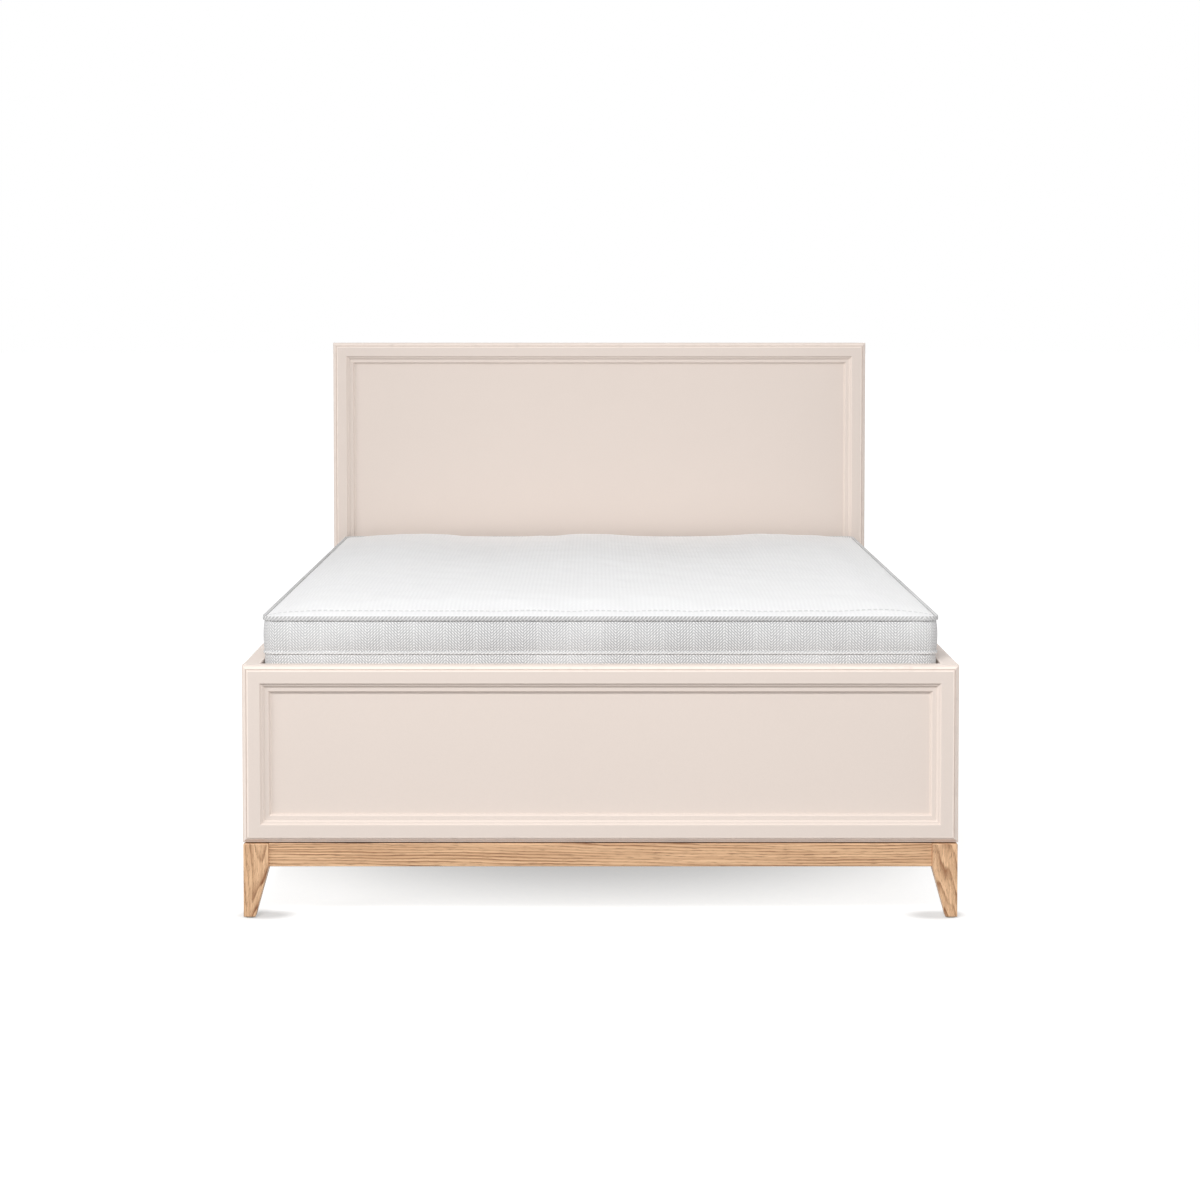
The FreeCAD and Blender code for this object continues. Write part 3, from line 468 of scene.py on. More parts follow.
def lathed(profile: Outline, near: Array, axis: Array, count: int) -> Surface:
    """Turn a profile (radius, height) about an axis: place = near + height*axis + radius*(side turned by a).

    Args:
        profile: runs from the far end back to the near end.
        near: the axis's start.
        axis: its unit direction.
        count: faces round it.

    Returns:
        The turned piece, with flat caps on its two ends.
    """
    helper = X_AXIS if abs(axis[0]) < 0.9 else Y_AXIS
    e1 = np.cross(axis, helper)
    e1 /= np.linalg.norm(e1)
    e2 = np.cross(axis, e1)
    angle = -np.arange(count)[:, None, None] * 2 * np.pi / count
    side = np.cos(angle) * e1 + np.sin(angle) * e2
    radius, height = profile.points[None, :, :1], profile.points[None, :, 1:]
    points = (near + height * axis + radius * side).reshape(-1, 3)
    normals = (profile.normals[None, :, :1] * side + profile.normals[None, :, 1:] * axis).reshape(-1, 3)
    columns = len(profile.points)
    first = np.arange(count) * columns
    caps = [(first[::-1], axis), (first + columns - 1, -axis)]
    edge = np.tile(profile.edge, count)
    return Surface(points, normals, edge, grid_quads(count, columns, True, False), caps)


def soft_step(value: Array, low: float, high: float) -> Array:
    """Rise smoothly from 0 to 1: t*t*(3-2t), t the share of the way from low to high.

    Args:
        value: where it is asked.
        low: where the rise starts.
        high: where it ends.

    Returns:
        The height of the rise at each value.
    """
    t = np.clip((value - low) / (high - low), 0.0, 1.0)
    return t * t * (3 - 2 * t)


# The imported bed


@dataclass(frozen=True)
class Bed:
    """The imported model: its nodes, their boxes and the bodies that carry them."""

    bodies: dict[str, list[str]]

    def body_of(self, node: str) -> str:
        """Name the body that a node rides on."""
        return next(body for body, nodes in self.bodies.items() if node in nodes)

    def box(self, *nodes: str) -> tuple[Array, Array]:
        """Give the lowest and highest corner of one or more nodes.

        Args:
            nodes: the nodes' names.

        Returns:
            The two corners, in metres.
        """
        corners = [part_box(node) for node in nodes]
        return np.min([low for low, _ in corners], axis=0), np.max([high for _, high in corners], axis=0)

    def solids(self, node: str) -> list[tuple[Array, Array]]:
        """Give the box of every separate solid of a node.

        Every triangle passes its least point number to its corners until nothing changes, so the points of
        one solid end with one number.

        Args:
            node: the node's name.

        Returns:
            The boxes, ordered by y, then x, then z.
        """
        mesh = bpy.data.objects[node].data
        points = read_places(mesh)
        corners = np.empty(len(mesh.loops), np.int32)
        mesh.loops.foreach_get("vertex_index", corners)
        keys = np.round(points / NEAR_PLACE).astype(np.int64)
        _, merged = np.unique(keys, axis=0, return_inverse=True)
        faces = merged.reshape(-1)[corners].reshape(-1, 3)
        label = np.arange(faces.max() + 1)
        while True:
            least = label[faces].min(axis=1)
            before = label.copy()
            np.minimum.at(label, faces.ravel(), np.repeat(least, 3))
            if (before == label).all():
                break
        groups = label[merged.reshape(-1)]
        boxes = [(points[groups == one].min(0), points[groups == one].max(0)) for one in np.unique(groups)]
        return sorted(boxes, key=lambda pair: tuple(np.round(pair[0], 4)[[1, 0, 2]].tolist()))

    def place(self, piece: Object, slot: str, *nodes: str) -> Object:
        """Let a piece ride with the nodes that it stands for, and report it.

        Args:
            piece: the new piece.
            slot: the record's material slot; not used.
            nodes: the nodes that it replaces, all of one body.

        Returns:
            The piece.
        """
        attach(piece, self.body_of(nodes[0]))
        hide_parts(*nodes)
        log.info("%s stands for %s, %d faces", piece.name, ", ".join(nodes), len(piece.data.polygons))
        return piece


def softened_copy(node: str, name: str, width: float) -> Object:
    """Copy a node's mesh, merge its triangles into faces and ease its edges with a bevel.

    Args:
        node: the node's name.
        name: the copy's name.
        width: the bevel's width in metres.

    Returns:
        The copy.
    """
    mesh = bpy.data.objects[node].data.copy()
    mesh.name = name
    work = bmesh.new()
    work.from_mesh(mesh)
    bmesh.ops.remove_doubles(work, verts=work.verts, dist=2 * SAME_PLACE)
    bmesh.ops.dissolve_limit(work, angle_limit=FLAT_ANGLE, verts=work.verts, edges=work.edges)
    work.to_mesh(mesh)
    work.free()
    smoothed(mesh)
    made = linked(name, mesh)
    bevel = made.modifiers.new("eased edges", "BEVEL")
    bevel.width = width
    bevel.segments = 2
    bevel.limit_method = "ANGLE"
    bevel.angle_limit = EDGE_ANGLE
    bevel.harden_normals = True
    return made


# Shader trees


class Tree:
    """A node tree filled by short calls; a value is a number, a tuple or another node's output."""

    def __init__(self, tree: NodeTree) -> None:
        """Keep the tree that is filled."""
        self.tree = tree

    def node(self, kind: str, inputs: dict[Union[str, int], Value], **settings: object) -> Node:
        """Add a node.

        Args:
            kind: its type name.
            inputs: the values of its sockets, by name or number.
            settings: its own settings, set before the sockets.

        Returns:
            The node.
        """
        made = self.tree.nodes.new(kind)
        for key, setting in settings.items():
            setattr(made, key, setting)
        self.feed(made, inputs)
        return made

    def feed(self, node: Node, inputs: dict[Union[str, int], Value]) -> None:
        """Fill a node's inputs.

        Args:
            node: the node.
            inputs: a value or another node's output for each input, by name or number.
        """
        for key, value in inputs.items():
            if isinstance(value, Socket):
                self.tree.links.new(value, node.inputs[key])
            else:
                node.inputs[key].default_value = value

    def math(self, operation: str, a: Value, b: Value = 0.0, c: Value = 0.0) -> Socket:
        """Add one step of arithmetic and give its result."""
        return self.node("ShaderNodeMath", {0: a, 1: b, 2: c}, operation=operation).outputs[0]

    def vector(self, operation: str, a: Value, b: Value = ORIGIN) -> Socket:
        """Add one step of vector arithmetic and give its result."""
        made = self.node("ShaderNodeVectorMath", {0: a, 1: b}, operation=operation)
        return made.outputs["Value" if operation in ("LENGTH", "DOT_PRODUCT") else "Vector"]

    def parts(self, vector: Value) -> tuple[Socket, ...]:
        """Give the three numbers of a vector."""
        return tuple(self.node("ShaderNodeSeparateXYZ", {0: vector}).outputs)

    def join(self, x: Value, y: Value, z: Value) -> Socket:
        """Make a vector of three numbers."""
        return self.node("ShaderNodeCombineXYZ", {0: x, 1: y, 2: z}).outputs[0]

    def rise(self, value: Value, low: Value, high: Value, start: Value = 0.0,
             end: Value = 1.0) -> Socket:
        """Rise smoothly from start to end while a value goes from low to high."""
        sockets = {"Value": value, "From Min": low, "From Max": high, "To Min": start, "To Max": end}
        return self.node("ShaderNodeMapRange", sockets, interpolation_type="SMOOTHSTEP").outputs["Result"]

    def noise(self, vector: Value, scale: Value = 1.0, detail: float = 2.0) -> Socket:
        """Add a noise and give its value from 0 to 1."""
        sockets = {"Vector": vector, "Scale": scale, "Detail": detail}
        return self.node("ShaderNodeTexNoise", sockets).outputs[0]

    def stretched(self, place: Value, stretch: Triple, detail: float) -> Socket:
        """Add a noise of one scale on each axis and give its value from 0 to 1."""
        return self.noise(self.vector("MULTIPLY", place, stretch), 1.0, detail)

    def mix(self, factor: Value, a: Value, b: Value) -> Socket:
        """Mix two colours and give the result."""
        sockets = {0: factor, 6: a, 7: b}
        return self.node("ShaderNodeMix", sockets, data_type="RGBA", blend_type="MIX").outputs[2]

    def blend(self, colour: Value, other: Value, mask: Value, share: float) -> Socket:
        """Mix another colour in where a mask says, up to a share."""
        return self.mix(self.math("MULTIPLY", mask, share), colour, other)

    def attribute(self, name: str, output: str) -> Socket:
        """Read a value that the mesh carries."""
        return self.node("ShaderNodeAttribute", {}, attribute_name=name).outputs[output]

    def place(self) -> Socket:
        """Read the object's own coordinates."""
        return self.node("ShaderNodeTexCoord", {}).outputs["Object"]

    def group(self, shared: NodeTree, **inputs: Value) -> Node:
        """Place a shared group; an input's name has its blanks written as underscores."""
        named = {key.replace("_", " "): value for key, value in inputs.items()}
        return self.node("ShaderNodeGroup", named, node_tree=shared)


def emptied(owner: Union[Material, bpy.types.World]) -> Tree:
    """Switch on the nodes of a material or world and clear them.

    Args:
        owner: the material or world.

    Returns:
        Its empty tree.
    """
    owner.use_nodes = True
    owner.node_tree.nodes.clear()
    return Tree(owner.node_tree)


def new_group(name: str, inputs: dict[str, Value],
              outputs: Sequence[str]) -> tuple[Tree, dict[str, Socket], Node]:
    """Start a shader group with named sockets.

    Args:
        name: the group's name.
        inputs: each input's name and the value that it starts with; a tuple makes a vector.
        outputs: the names of the outputs, all plain values.

    Returns:
        The tree, its inputs by name and its output node.
    """
    group = bpy.data.node_groups.new(name, "ShaderNodeTree")
    for key, value in inputs.items():
        kind = "NodeSocketVector" if isinstance(value, tuple) else "NodeSocketFloat"
        group.interface.new_socket(key, in_out="INPUT", socket_type=kind).default_value = value
    for key in outputs:
        group.interface.new_socket(key, in_out="OUTPUT", socket_type="NodeSocketFloat")
    tree = Tree(group)
    entry = tree.node("NodeGroupInput", {})
    return tree, {key: entry.outputs[key] for key in inputs}, tree.node("NodeGroupOutput", {})


@dataclass
class Effects:
    """The effects that several finishes share, each one group built once; lengths in metres."""

    worn: Pair = (0.55, 1.05)
    # Where the painted shade in the recesses starts and where it is full, on the inner edge value
    hollow: Pair = (0.1, 0.9)
    wander_stretch: Triple = (1.1, 9.0, 9.0)
    wobble_stretch: Triple = (9.0, 42.0, 42.0)
    wobble: float = 0.005
    late_growth: float = 2.6
    ring_end: Pair = (0.86, 1.0)
    patch_stretch: Triple = (3.0, 40.0, 40.0)
    patch_rise: Pair = (0.3, 0.65)
    patch_strength: Pair = (0.3, 1.7)
    fibre_stretch: Triple = (4.0, 260.0, 260.0)
    pore_stretch: Triple = (38.0, 1000.0, 1000.0)
    pore_rise: Pair = (0.62, 0.74)
    late_pores: float = 0.12
    yarn_roundness: float = 0.8
    bead_share: float = 0.3
    turn_share: float = 0.2
    waver_scale: float = 4.0
    waver: float = 0.016
    stitch: float = 0.006
    dash_rise: Pair = (0.0015, 0.003)
    thread_fall: Pair = (0.002, 0.005)
    groove: float = 0.009

    def __post_init__(self) -> None:
        """Build all groups."""
        self.mottle = self.build_mottle()
        self.wear = self.build_wear()
        self.wood = self.build_wood()
        self.weave = self.build_weave()
        self.stitches = self.build_stitches()

    def build_mottle(self) -> NodeTree:
        """Clouds of one scale and a fine grain of another, for uneven colour, sheen and texture.

        Returns:
            The group, with Cloud and Fine from 0 to 1.
        """
        start = {"Vector": ORIGIN, "Cloud Scale": 3.0, "Fine Scale": 400.0}
        tree, inputs, out = new_group("mottle", start, ("Cloud", "Fine"))
        place = inputs["Vector"]
        tree.feed(out, {"Cloud": tree.noise(place, inputs["Cloud Scale"], 3.0),
                        "Fine": tree.noise(place, inputs["Fine Scale"], 2.0)})
        return tree.tree

    def build_wear(self) -> NodeTree:
        """Rubbed edges, and painted shade in the recesses: the mesh's edge value broken up by a noise.

        Returns:
            The group, with Wear on outer edges and painted shade in inner ones.
        """
        start = {"Vector": ORIGIN, "Edge": 0.0, "Scale": 60.0}
        tree, inputs, out = new_group("edge wear", start, ("Wear", "Hollow"))
        grit = tree.noise(inputs["Vector"], inputs["Scale"], 4.0)
        shifted = tree.math("ADD", inputs["Edge"], tree.math("SUBTRACT", grit, 0.5))
        # The inner edge value, which paints shade into the recesses
        hollow = tree.math("MULTIPLY", inputs["Edge"], -1.0)
        tree.feed(out, {"Wear": tree.rise(shifted, *self.worn), "Hollow": tree.rise(hollow, *self.hollow)})
        return tree.tree

    def build_wood(self) -> NodeTree:
        """Year rings about a wandering pith, long fibres and short pores.

        The ring number is the distance from the pith over the ring spacing; each ring darkens slowly and
        ends sharply.

        Returns:
            The group, with Ring, Fibre and Pore from 0 to 1.
        """
        start = {"Vector": ORIGIN, "Ring Spacing": 0.006, "Wander": 0.03}
        tree, inputs, out = new_group("wood figure", start, ("Ring", "Fibre", "Pore"))
        place = inputs["Vector"]
        _, wide, deep = tree.parts(place)
        slow = {"Vector": tree.vector("MULTIPLY", place, self.wander_stretch), "Scale": 1.0, "Detail": 3.0}
        wander = tree.node("ShaderNodeTexNoise", slow).outputs["Color"]
        bent = tree.vector("MULTIPLY", tree.vector("SUBTRACT", wander, (0.5, 0.5, 0.5)),
                           tree.join(0.0, inputs["Wander"], inputs["Wander"]))
        wobble = tree.math("MULTIPLY_ADD", tree.stretched(place, self.wobble_stretch, 2.0), self.wobble,
                           -self.wobble / 2)
        distance = tree.vector("LENGTH", tree.vector("ADD", tree.join(0.0, wide, deep), bent))
        distance = tree.math("ADD", distance, wobble)
        share = tree.math("FRACT", tree.math("DIVIDE", distance, inputs["Ring Spacing"]))
        late = tree.math("POWER", share, self.late_growth)
        ring = tree.math("MULTIPLY", late, tree.rise(share, *self.ring_end, 1.0, 0.0))
        patch = tree.stretched(place, self.patch_stretch, 3.0)
        ring = tree.math("MULTIPLY", ring, tree.rise(patch, *self.patch_rise, *self.patch_strength))
        fibre = tree.stretched(place, self.fibre_stretch, 3.0)
        fine = tree.stretched(place, self.pore_stretch, 2.0)
        pore = tree.math("ADD", fine, tree.math("MULTIPLY", share, self.late_pores))
        pore = tree.rise(pore, *self.pore_rise)
        tree.feed(out, {"Ring": ring, "Fibre": fibre, "Pore": pore})
        return tree.tree

    def build_weave(self) -> NodeTree:
        """Slanting yarns that turn back at every column.

        Height = (half + half * cos(v + folded u)) ^ roundness, times the same wave along u, which parts each
        yarn into beads.

        Returns:
            The group, with Yarn from 0 to 1 and Column, which is 1 on every second turn.
        """
        start = {"Vector": ORIGIN, "Pitch": 0.004, "Column Width": 0.032, "Slant": 1.0}
        tree, inputs, out = new_group("weave", start, ("Yarn", "Column"))
        u, v, _ = tree.parts(inputs["Vector"])
        fold = tree.math("PINGPONG", u, inputs["Column Width"])
        run = tree.math("ADD", v, tree.math("MULTIPLY", fold, inputs["Slant"]))
        turn = tree.math("MULTIPLY", tree.math("DIVIDE", run, inputs["Pitch"]), 2 * math.pi)
        wave = tree.math("MULTIPLY_ADD", tree.math("COSINE", turn), 0.5, 0.5)
        wave = tree.math("POWER", wave, self.yarn_roundness)
        cross = tree.math("MULTIPLY", tree.math("DIVIDE", u, inputs["Pitch"]), 2 * math.pi)
        beads = tree.math("MULTIPLY_ADD", tree.math("COSINE", cross), self.bead_share, 1.0 - self.bead_share)
        column = tree.rise(tree.math("DIVIDE", fold, inputs["Column Width"]), 0.0, self.turn_share, 1.0, 0.0)
        tree.feed(out, {"Yarn": tree.math("MULTIPLY", wave, beads), "Column": column})
        return tree.tree

    def build_stitches(self) -> NodeTree:
        """A row of stitches across the top, at one distance from its foot end and its head end.

        The distance to the end is half length - |y|, with a slow waver along x; the stitch dashes, darkened
        as a painted shade of the groove, are the strip about the inset, cut into dashes along x, and the
        groove is a wider strip.

        Returns:
            The group, with the stitch dashes and their painted shade, and the Groove, from 0 to 1.
        """
        start = {"Vector": ORIGIN, "Inset": 0.045, "Half Length": 1.0, "Shift": 0.006}
        tree, inputs, out = new_group("stitch row", start, ("Thread", "Groove"))
        x, y, _ = tree.parts(inputs["Vector"])
        slow = tree.noise(tree.join(x, 0.0, 0.0), self.waver_scale, 1.0)
        waver = tree.math("MULTIPLY_ADD", slow, self.waver, -self.waver / 2)
        centred = tree.math("ADD", y, inputs["Shift"])
        edge = tree.math("SUBTRACT", inputs["Half Length"], tree.math("ABSOLUTE", centred))
        off = tree.math("ABSOLUTE", tree.math("SUBTRACT", tree.math("ADD", edge, waver), inputs["Inset"]))
        dash = tree.rise(tree.math("PINGPONG", x, self.stitch), *self.dash_rise)
        # The stitch dashes, whose dark tone also paints the groove's shade
        thread = tree.math("MULTIPLY", tree.rise(off, *self.thread_fall, 1.0, 0.0), dash)
        tree.feed(out, {"Thread": thread, "Groove": tree.rise(off, 0.0, self.groove, 1.0, 0.0)})
        return tree.tree


def linear(red: float, green: float, blue: float) -> Quad:
    """Turn a written colour of 0 to 255 into the shader's linear one: ((c + 0.055) / 1.055) ^ 2.4.

    Args:
        red: the first channel.
        green: the second channel.
        blue: the third channel.

    Returns:
        The linear colour, with an alpha of 1.
    """
    share = np.array([red, green, blue]) / 255
    value = np.where(share > 0.04045, ((share + 0.055) / 1.055) ** 2.4, share / 12.92)
    return (*value.tolist(), 1.0)


def toned(colour: Sequence[float], share: Union[float, Triple], lift: float = 0.0) -> Quad:
    """Make a linear colour paler or darker: channel * share + lift, at most 1."""
    channels = np.minimum(np.array(colour[:3]) * share + lift, 1.0)
    return (*channels.tolist(), 1.0)


class Finish:
    """What all finishes have: a material of one surface shader."""

    name: str
    roughness: float
    unevenness: Pair
    cloud_scale: float
    fine_scale: float
    wear_scale: float

    def start(self, metallic: float = 0.0) -> tuple[Material, Tree, Node]:
        """Start the material.

        Args:
            metallic: 1 for bare metal.

        Returns:
            The material, its tree and its surface shader.
        """
        material = bpy.data.materials.new(self.name)
        tree = emptied(material)
        surface = tree.node("ShaderNodeBsdfPrincipled", {"Metallic": metallic})
        tree.node("ShaderNodeOutputMaterial", {"Surface": surface.outputs[0]})
        return material, tree, surface

    def bump(self, tree: Tree, surface: Node, height: Value, depth: float) -> None:
        """Raise the surface by a height from 0 to 1.

        Args:
            tree: the material's tree.
            surface: its surface shader.
            height: the height.
            depth: the real depth in metres.
        """
        made = tree.node("ShaderNodeBump", {"Height": height, "Distance": depth, "Strength": 1.0})
        tree.feed(surface, {"Normal": made.outputs[0]})

    def mottle(self, tree: Tree, effects: Effects) -> Outputs:
        """Place the clouds and the fine grain at the object's own coordinates."""
        scales = {"Cloud_Scale": self.cloud_scale, "Fine_Scale": self.fine_scale}
        return tree.group(effects.mottle, Vector=tree.place(), **scales).outputs

    def wear(self, tree: Tree, effects: Effects, place: Value) -> Outputs:
        """Place the worn edges and the painted shade of the recesses."""
        edge = tree.attribute("edge", "Fac")
        return tree.group(effects.wear, Vector=place, Edge=edge, Scale=self.wear_scale).outputs

    def uneven(self, tree: Tree, cloud: Value) -> Socket:
        """Let the roughness wander with the clouds, from so much less to so much more than its value."""
        less, more = self.unevenness
        return tree.rise(cloud, *CLOUD_REACH, self.roughness - less, self.roughness + more)


@dataclass(frozen=True)
class Paint(Finish):
    """Sprayed satin paint on wood: faint clouds, orange peel, edges made lighter by wear and a painted
    highlight, and painted shade in the recesses.
    """

    name: str
    colour: Triple
    roughness: float = 0.4
    gloss: float = 0.1
    deep: float = 0.97
    # Painted shade: the darker tone of the recesses and inner corners, and how much of it is laid in
    hollow: Triple = (0.7, 0.66, 0.63)
    hollow_share: float = 0.8
    # Lighter edges, partly wear and partly a painted highlight on the moulding's rim, and how much of it is
    # laid in
    rubbed: float = 1.2
    rubbed_share: float = 0.85
    peel: float = 0.04 * MM
    unevenness: Pair = (0.04, 0.06)
    cloud_scale: float = 2.5
    fine_scale: float = 260.0
    wear_scale: float = 45.0

    def material(self, effects: Effects) -> Material:
        """Build the paint.

        Args:
            effects: the shared groups.

        Returns:
            The material.
        """
        material, tree, surface = self.start()
        mottle = self.mottle(tree, effects)
        wear = self.wear(tree, effects, tree.place())
        base = linear(*self.colour)
        speck = tree.math("SUBTRACT", mottle["Fine"], 0.5)
        colour = tree.mix(tree.math("ADD", mottle["Cloud"], speck), toned(base, self.deep), base)
        # Painted shade in the recesses and inner corners
        colour = tree.blend(colour, toned(base, self.hollow), wear["Hollow"], self.hollow_share)
        # Lighter edges: wear, and a painted highlight where the rim's slopes face the light
        colour = tree.blend(colour, toned(base, self.rubbed), wear["Wear"], self.rubbed_share)
        rough = self.uneven(tree, mottle["Cloud"])
        tree.feed(surface, {"Specular IOR Level": self.gloss, "Base Color": colour, "Roughness": rough})
        self.bump(tree, surface, mottle["Fine"], self.peel)
        return material


@dataclass(frozen=True)
class Wood(Finish):
    """Oiled wood: light early growth, darker late growth, fibres and open pores along the grain."""

    name: str
    light: Triple
    dark: Triple
    ring_spacing: float = 0.006
    wander: float = 0.03
    ring_share: float = 0.75
    roughness: float = 0.45
    fibre_share: float = 0.38
    pore_tone: float = 0.55
    pore_share: float = 0.6
    rubbed_share: float = 0.25
    ring_sheen: float = 0.08
    relief: float = 0.08 * MM
    fibre_rise: Pair = (0.3, 0.7)
    wear_scale: float = 80.0

    def material(self, effects: Effects) -> Material:
        """Build the wood.

        Args:
            effects: the shared groups.

        Returns:
            The material.
        """
        material, tree, surface = self.start()
        plank = tree.attribute("grain", "Vector")
        spacing, wander = self.ring_spacing, self.wander
        figure = tree.group(effects.wood, Vector=plank, Ring_Spacing=spacing, Wander=wander).outputs
        wear = self.wear(tree, effects, plank)
        light, dark = linear(*self.light), linear(*self.dark)
        middle = tuple(a * (1 - self.fibre_share) + b * self.fibre_share for a, b in zip(light, dark))
        colour = tree.mix(tree.rise(figure["Fibre"], *self.fibre_rise), middle, light)
        colour = tree.blend(colour, dark, figure["Ring"], self.ring_share)
        colour = tree.blend(colour, toned(dark, self.pore_tone), figure["Pore"], self.pore_share)
        colour = tree.blend(colour, light, wear["Wear"], self.rubbed_share)
        rough = tree.math("MULTIPLY_ADD", figure["Ring"], -self.ring_sheen, self.roughness)
        tree.feed(surface, {"Base Color": colour, "Roughness": rough})
        self.bump(tree, surface, tree.math("SUBTRACT", figure["Fibre"], figure["Pore"]), self.relief)
        return material


@dataclass(frozen=True)
class CoatedSteel(Finish):
    """Powder-coated steel: fine pebbled skin, rubbed to a lighter tone on its edges."""

    name: str
    colour: Triple
    roughness: float = 0.45
    fine_scale: float = 900.0
    pale: Pair = (1.5, 0.02)
    pale_share: float = 0.35
    pebble: float = 0.08 * MM
    unevenness: Pair = (0.06, 0.08)
    cloud_scale: float = 9.0
    wear_scale: float = 130.0

    def material(self, effects: Effects) -> Material:
        """Build the coating.

        Args:
            effects: the shared groups.

        Returns:
            The material.
        """
        material, tree, surface = self.start()
        mottle = self.mottle(tree, effects)
        wear = self.wear(tree, effects, tree.place())
        base = linear(*self.colour)
        pale = toned(base, *self.pale)
        colour = tree.blend(base, pale, mottle["Cloud"], self.pale_share)
        colour = tree.blend(colour, pale, wear["Wear"], self.pale_share)
        rough = self.uneven(tree, mottle["Cloud"])
        tree.feed(surface, {"Base Color": colour, "Roughness": rough})
        self.bump(tree, surface, mottle["Fine"], self.pebble)
        return material


@dataclass(frozen=True)
class BareSteel(Finish):
    """Bare or zinc-plated steel: drawn lines along the piece and dull patches in the plating."""

    name: str
    colour: Triple
    roughness: float = 0.3
    lines: Triple = (40.0, 40.0, 900.0)
    dull: float = 0.72
    patch: float = 0.18
    line_share: float = 0.08
    smoother: float = 0.08
    scratch: float = 0.02 * MM
    cloud_scale: float = 28.0
    fine_scale: float = 700.0

    def material(self, effects: Effects) -> Material:
        """Build the metal.

        Args:
            effects: the shared groups.

        Returns:
            The material.
        """
        material, tree, surface = self.start(metallic=1.0)
        mottle = self.mottle(tree, effects)
        drawn = tree.stretched(tree.place(), self.lines, 2.0)
        base = linear(*self.colour)
        colour = tree.mix(mottle["Cloud"], toned(base, self.dull), base)
        patch = tree.math("MULTIPLY_ADD", mottle["Cloud"], self.patch, self.roughness - self.smoother)
        rough = tree.math("ADD", patch, tree.math("MULTIPLY", drawn, self.line_share))
        tree.feed(surface, {"Base Color": colour, "Roughness": rough})
        self.bump(tree, surface, drawn, self.scratch)
        return material


@dataclass(frozen=True)
class Plastic(Finish):
    """Moulded plastic: an even tone with slightly paler clouds and a fine matt grain."""

    name: str
    colour: Triple
    roughness: float = 0.55
    pale: Pair = (1.12, 0.012)
    grain: float = 0.05 * MM
    unevenness: Pair = (0.05, 0.05)
    cloud_scale: float = 20.0
    fine_scale: float = 1500.0

    def material(self, effects: Effects) -> Material:
        """Build the plastic.

        Args:
            effects: the shared groups.

        Returns:
            The material.
        """
        material, tree, surface = self.start()
        mottle = self.mottle(tree, effects)
        base = linear(*self.colour)
        colour = tree.mix(mottle["Cloud"], base, toned(base, *self.pale))
        rough = self.uneven(tree, mottle["Cloud"])
        tree.feed(surface, {"Base Color": colour, "Roughness": rough})
        self.bump(tree, surface, mottle["Fine"], self.grain)
        return material


@dataclass(frozen=True)
class Cloth(Finish):
    """Woven or knitted cloth on its weave map: slanting yarns, pale column lines, soft sheen, and on a
    stitched top darker dashes, stitching with a painted shade of its groove.
    """

    name: str
    colour: Triple
    shade: Triple
    pitch: float = 0.004
    column: float = 0.032
    slant: float = 1.0
    column_share: float = 0.0
    depth: float = 0.0005
    roughness: float = 0.85
    sheen: float = 0.1
    stitch_inset: float = 0.0
    sheen_roughness: float = 0.45
    fuzz: float = 0.5
    cloud: float = 0.95
    cloud_share: float = 0.3
    cloud_rise: Pair = (0.35, 0.7)
    cloud_scale: float = 4.0
    fine_scale: float = 500.0
    # The darker tone of the stitch dashes, partly the stitching and partly a painted shade of the quilting
    # groove, and how much of it is laid in
    thread: float = 0.6
    thread_share: float = 0.55
    groove: float = 2.5
    yarn_sheen: float = 0.1

    def material(self, effects: Effects) -> Material:
        """Build the cloth.

        Args:
            effects: the shared groups.

        Returns:
            The material.
        """
        material, tree, surface = self.start()
        weave_map = tree.node("ShaderNodeUVMap", {}, uv_map="weave").outputs[0]
        weave = tree.group(effects.weave, Vector=weave_map, Pitch=self.pitch, Column_Width=self.column,
                           Slant=self.slant).outputs
        mottle = self.mottle(tree, effects)
        pale, dark = linear(*self.colour), linear(*self.shade)
        yarn = tree.math("SUBTRACT", mottle["Fine"], 0.5)
        yarn = tree.math("MULTIPLY_ADD", yarn, self.fuzz, weave["Yarn"])
        colour = tree.blend(tree.mix(yarn, dark, pale), pale, weave["Column"], self.column_share)
        cloud = tree.rise(mottle["Cloud"], *self.cloud_rise, 0.0, self.cloud_share)
        colour = tree.mix(cloud, colour, toned(pale, self.cloud))
        if self.stitch_inset:
            row = tree.group(effects.stitches, Vector=weave_map, Inset=self.stitch_inset).outputs
            # Stitch dashes darkened past the stitching's own tone: a painted shade of the quilting groove
            colour = tree.blend(colour, toned(dark, self.thread), row["Thread"], self.thread_share)
            yarn = tree.math("MULTIPLY_ADD", row["Groove"], -self.groove, yarn)
        rough = tree.math("MULTIPLY_ADD", weave["Yarn"], -self.yarn_sheen, self.roughness)
        tree.feed(surface, {"Sheen Weight": self.sheen, "Sheen Roughness": self.sheen_roughness,
                            "Base Color": colour, "Roughness": rough})
        self.bump(tree, surface, yarn, self.depth)
        return material


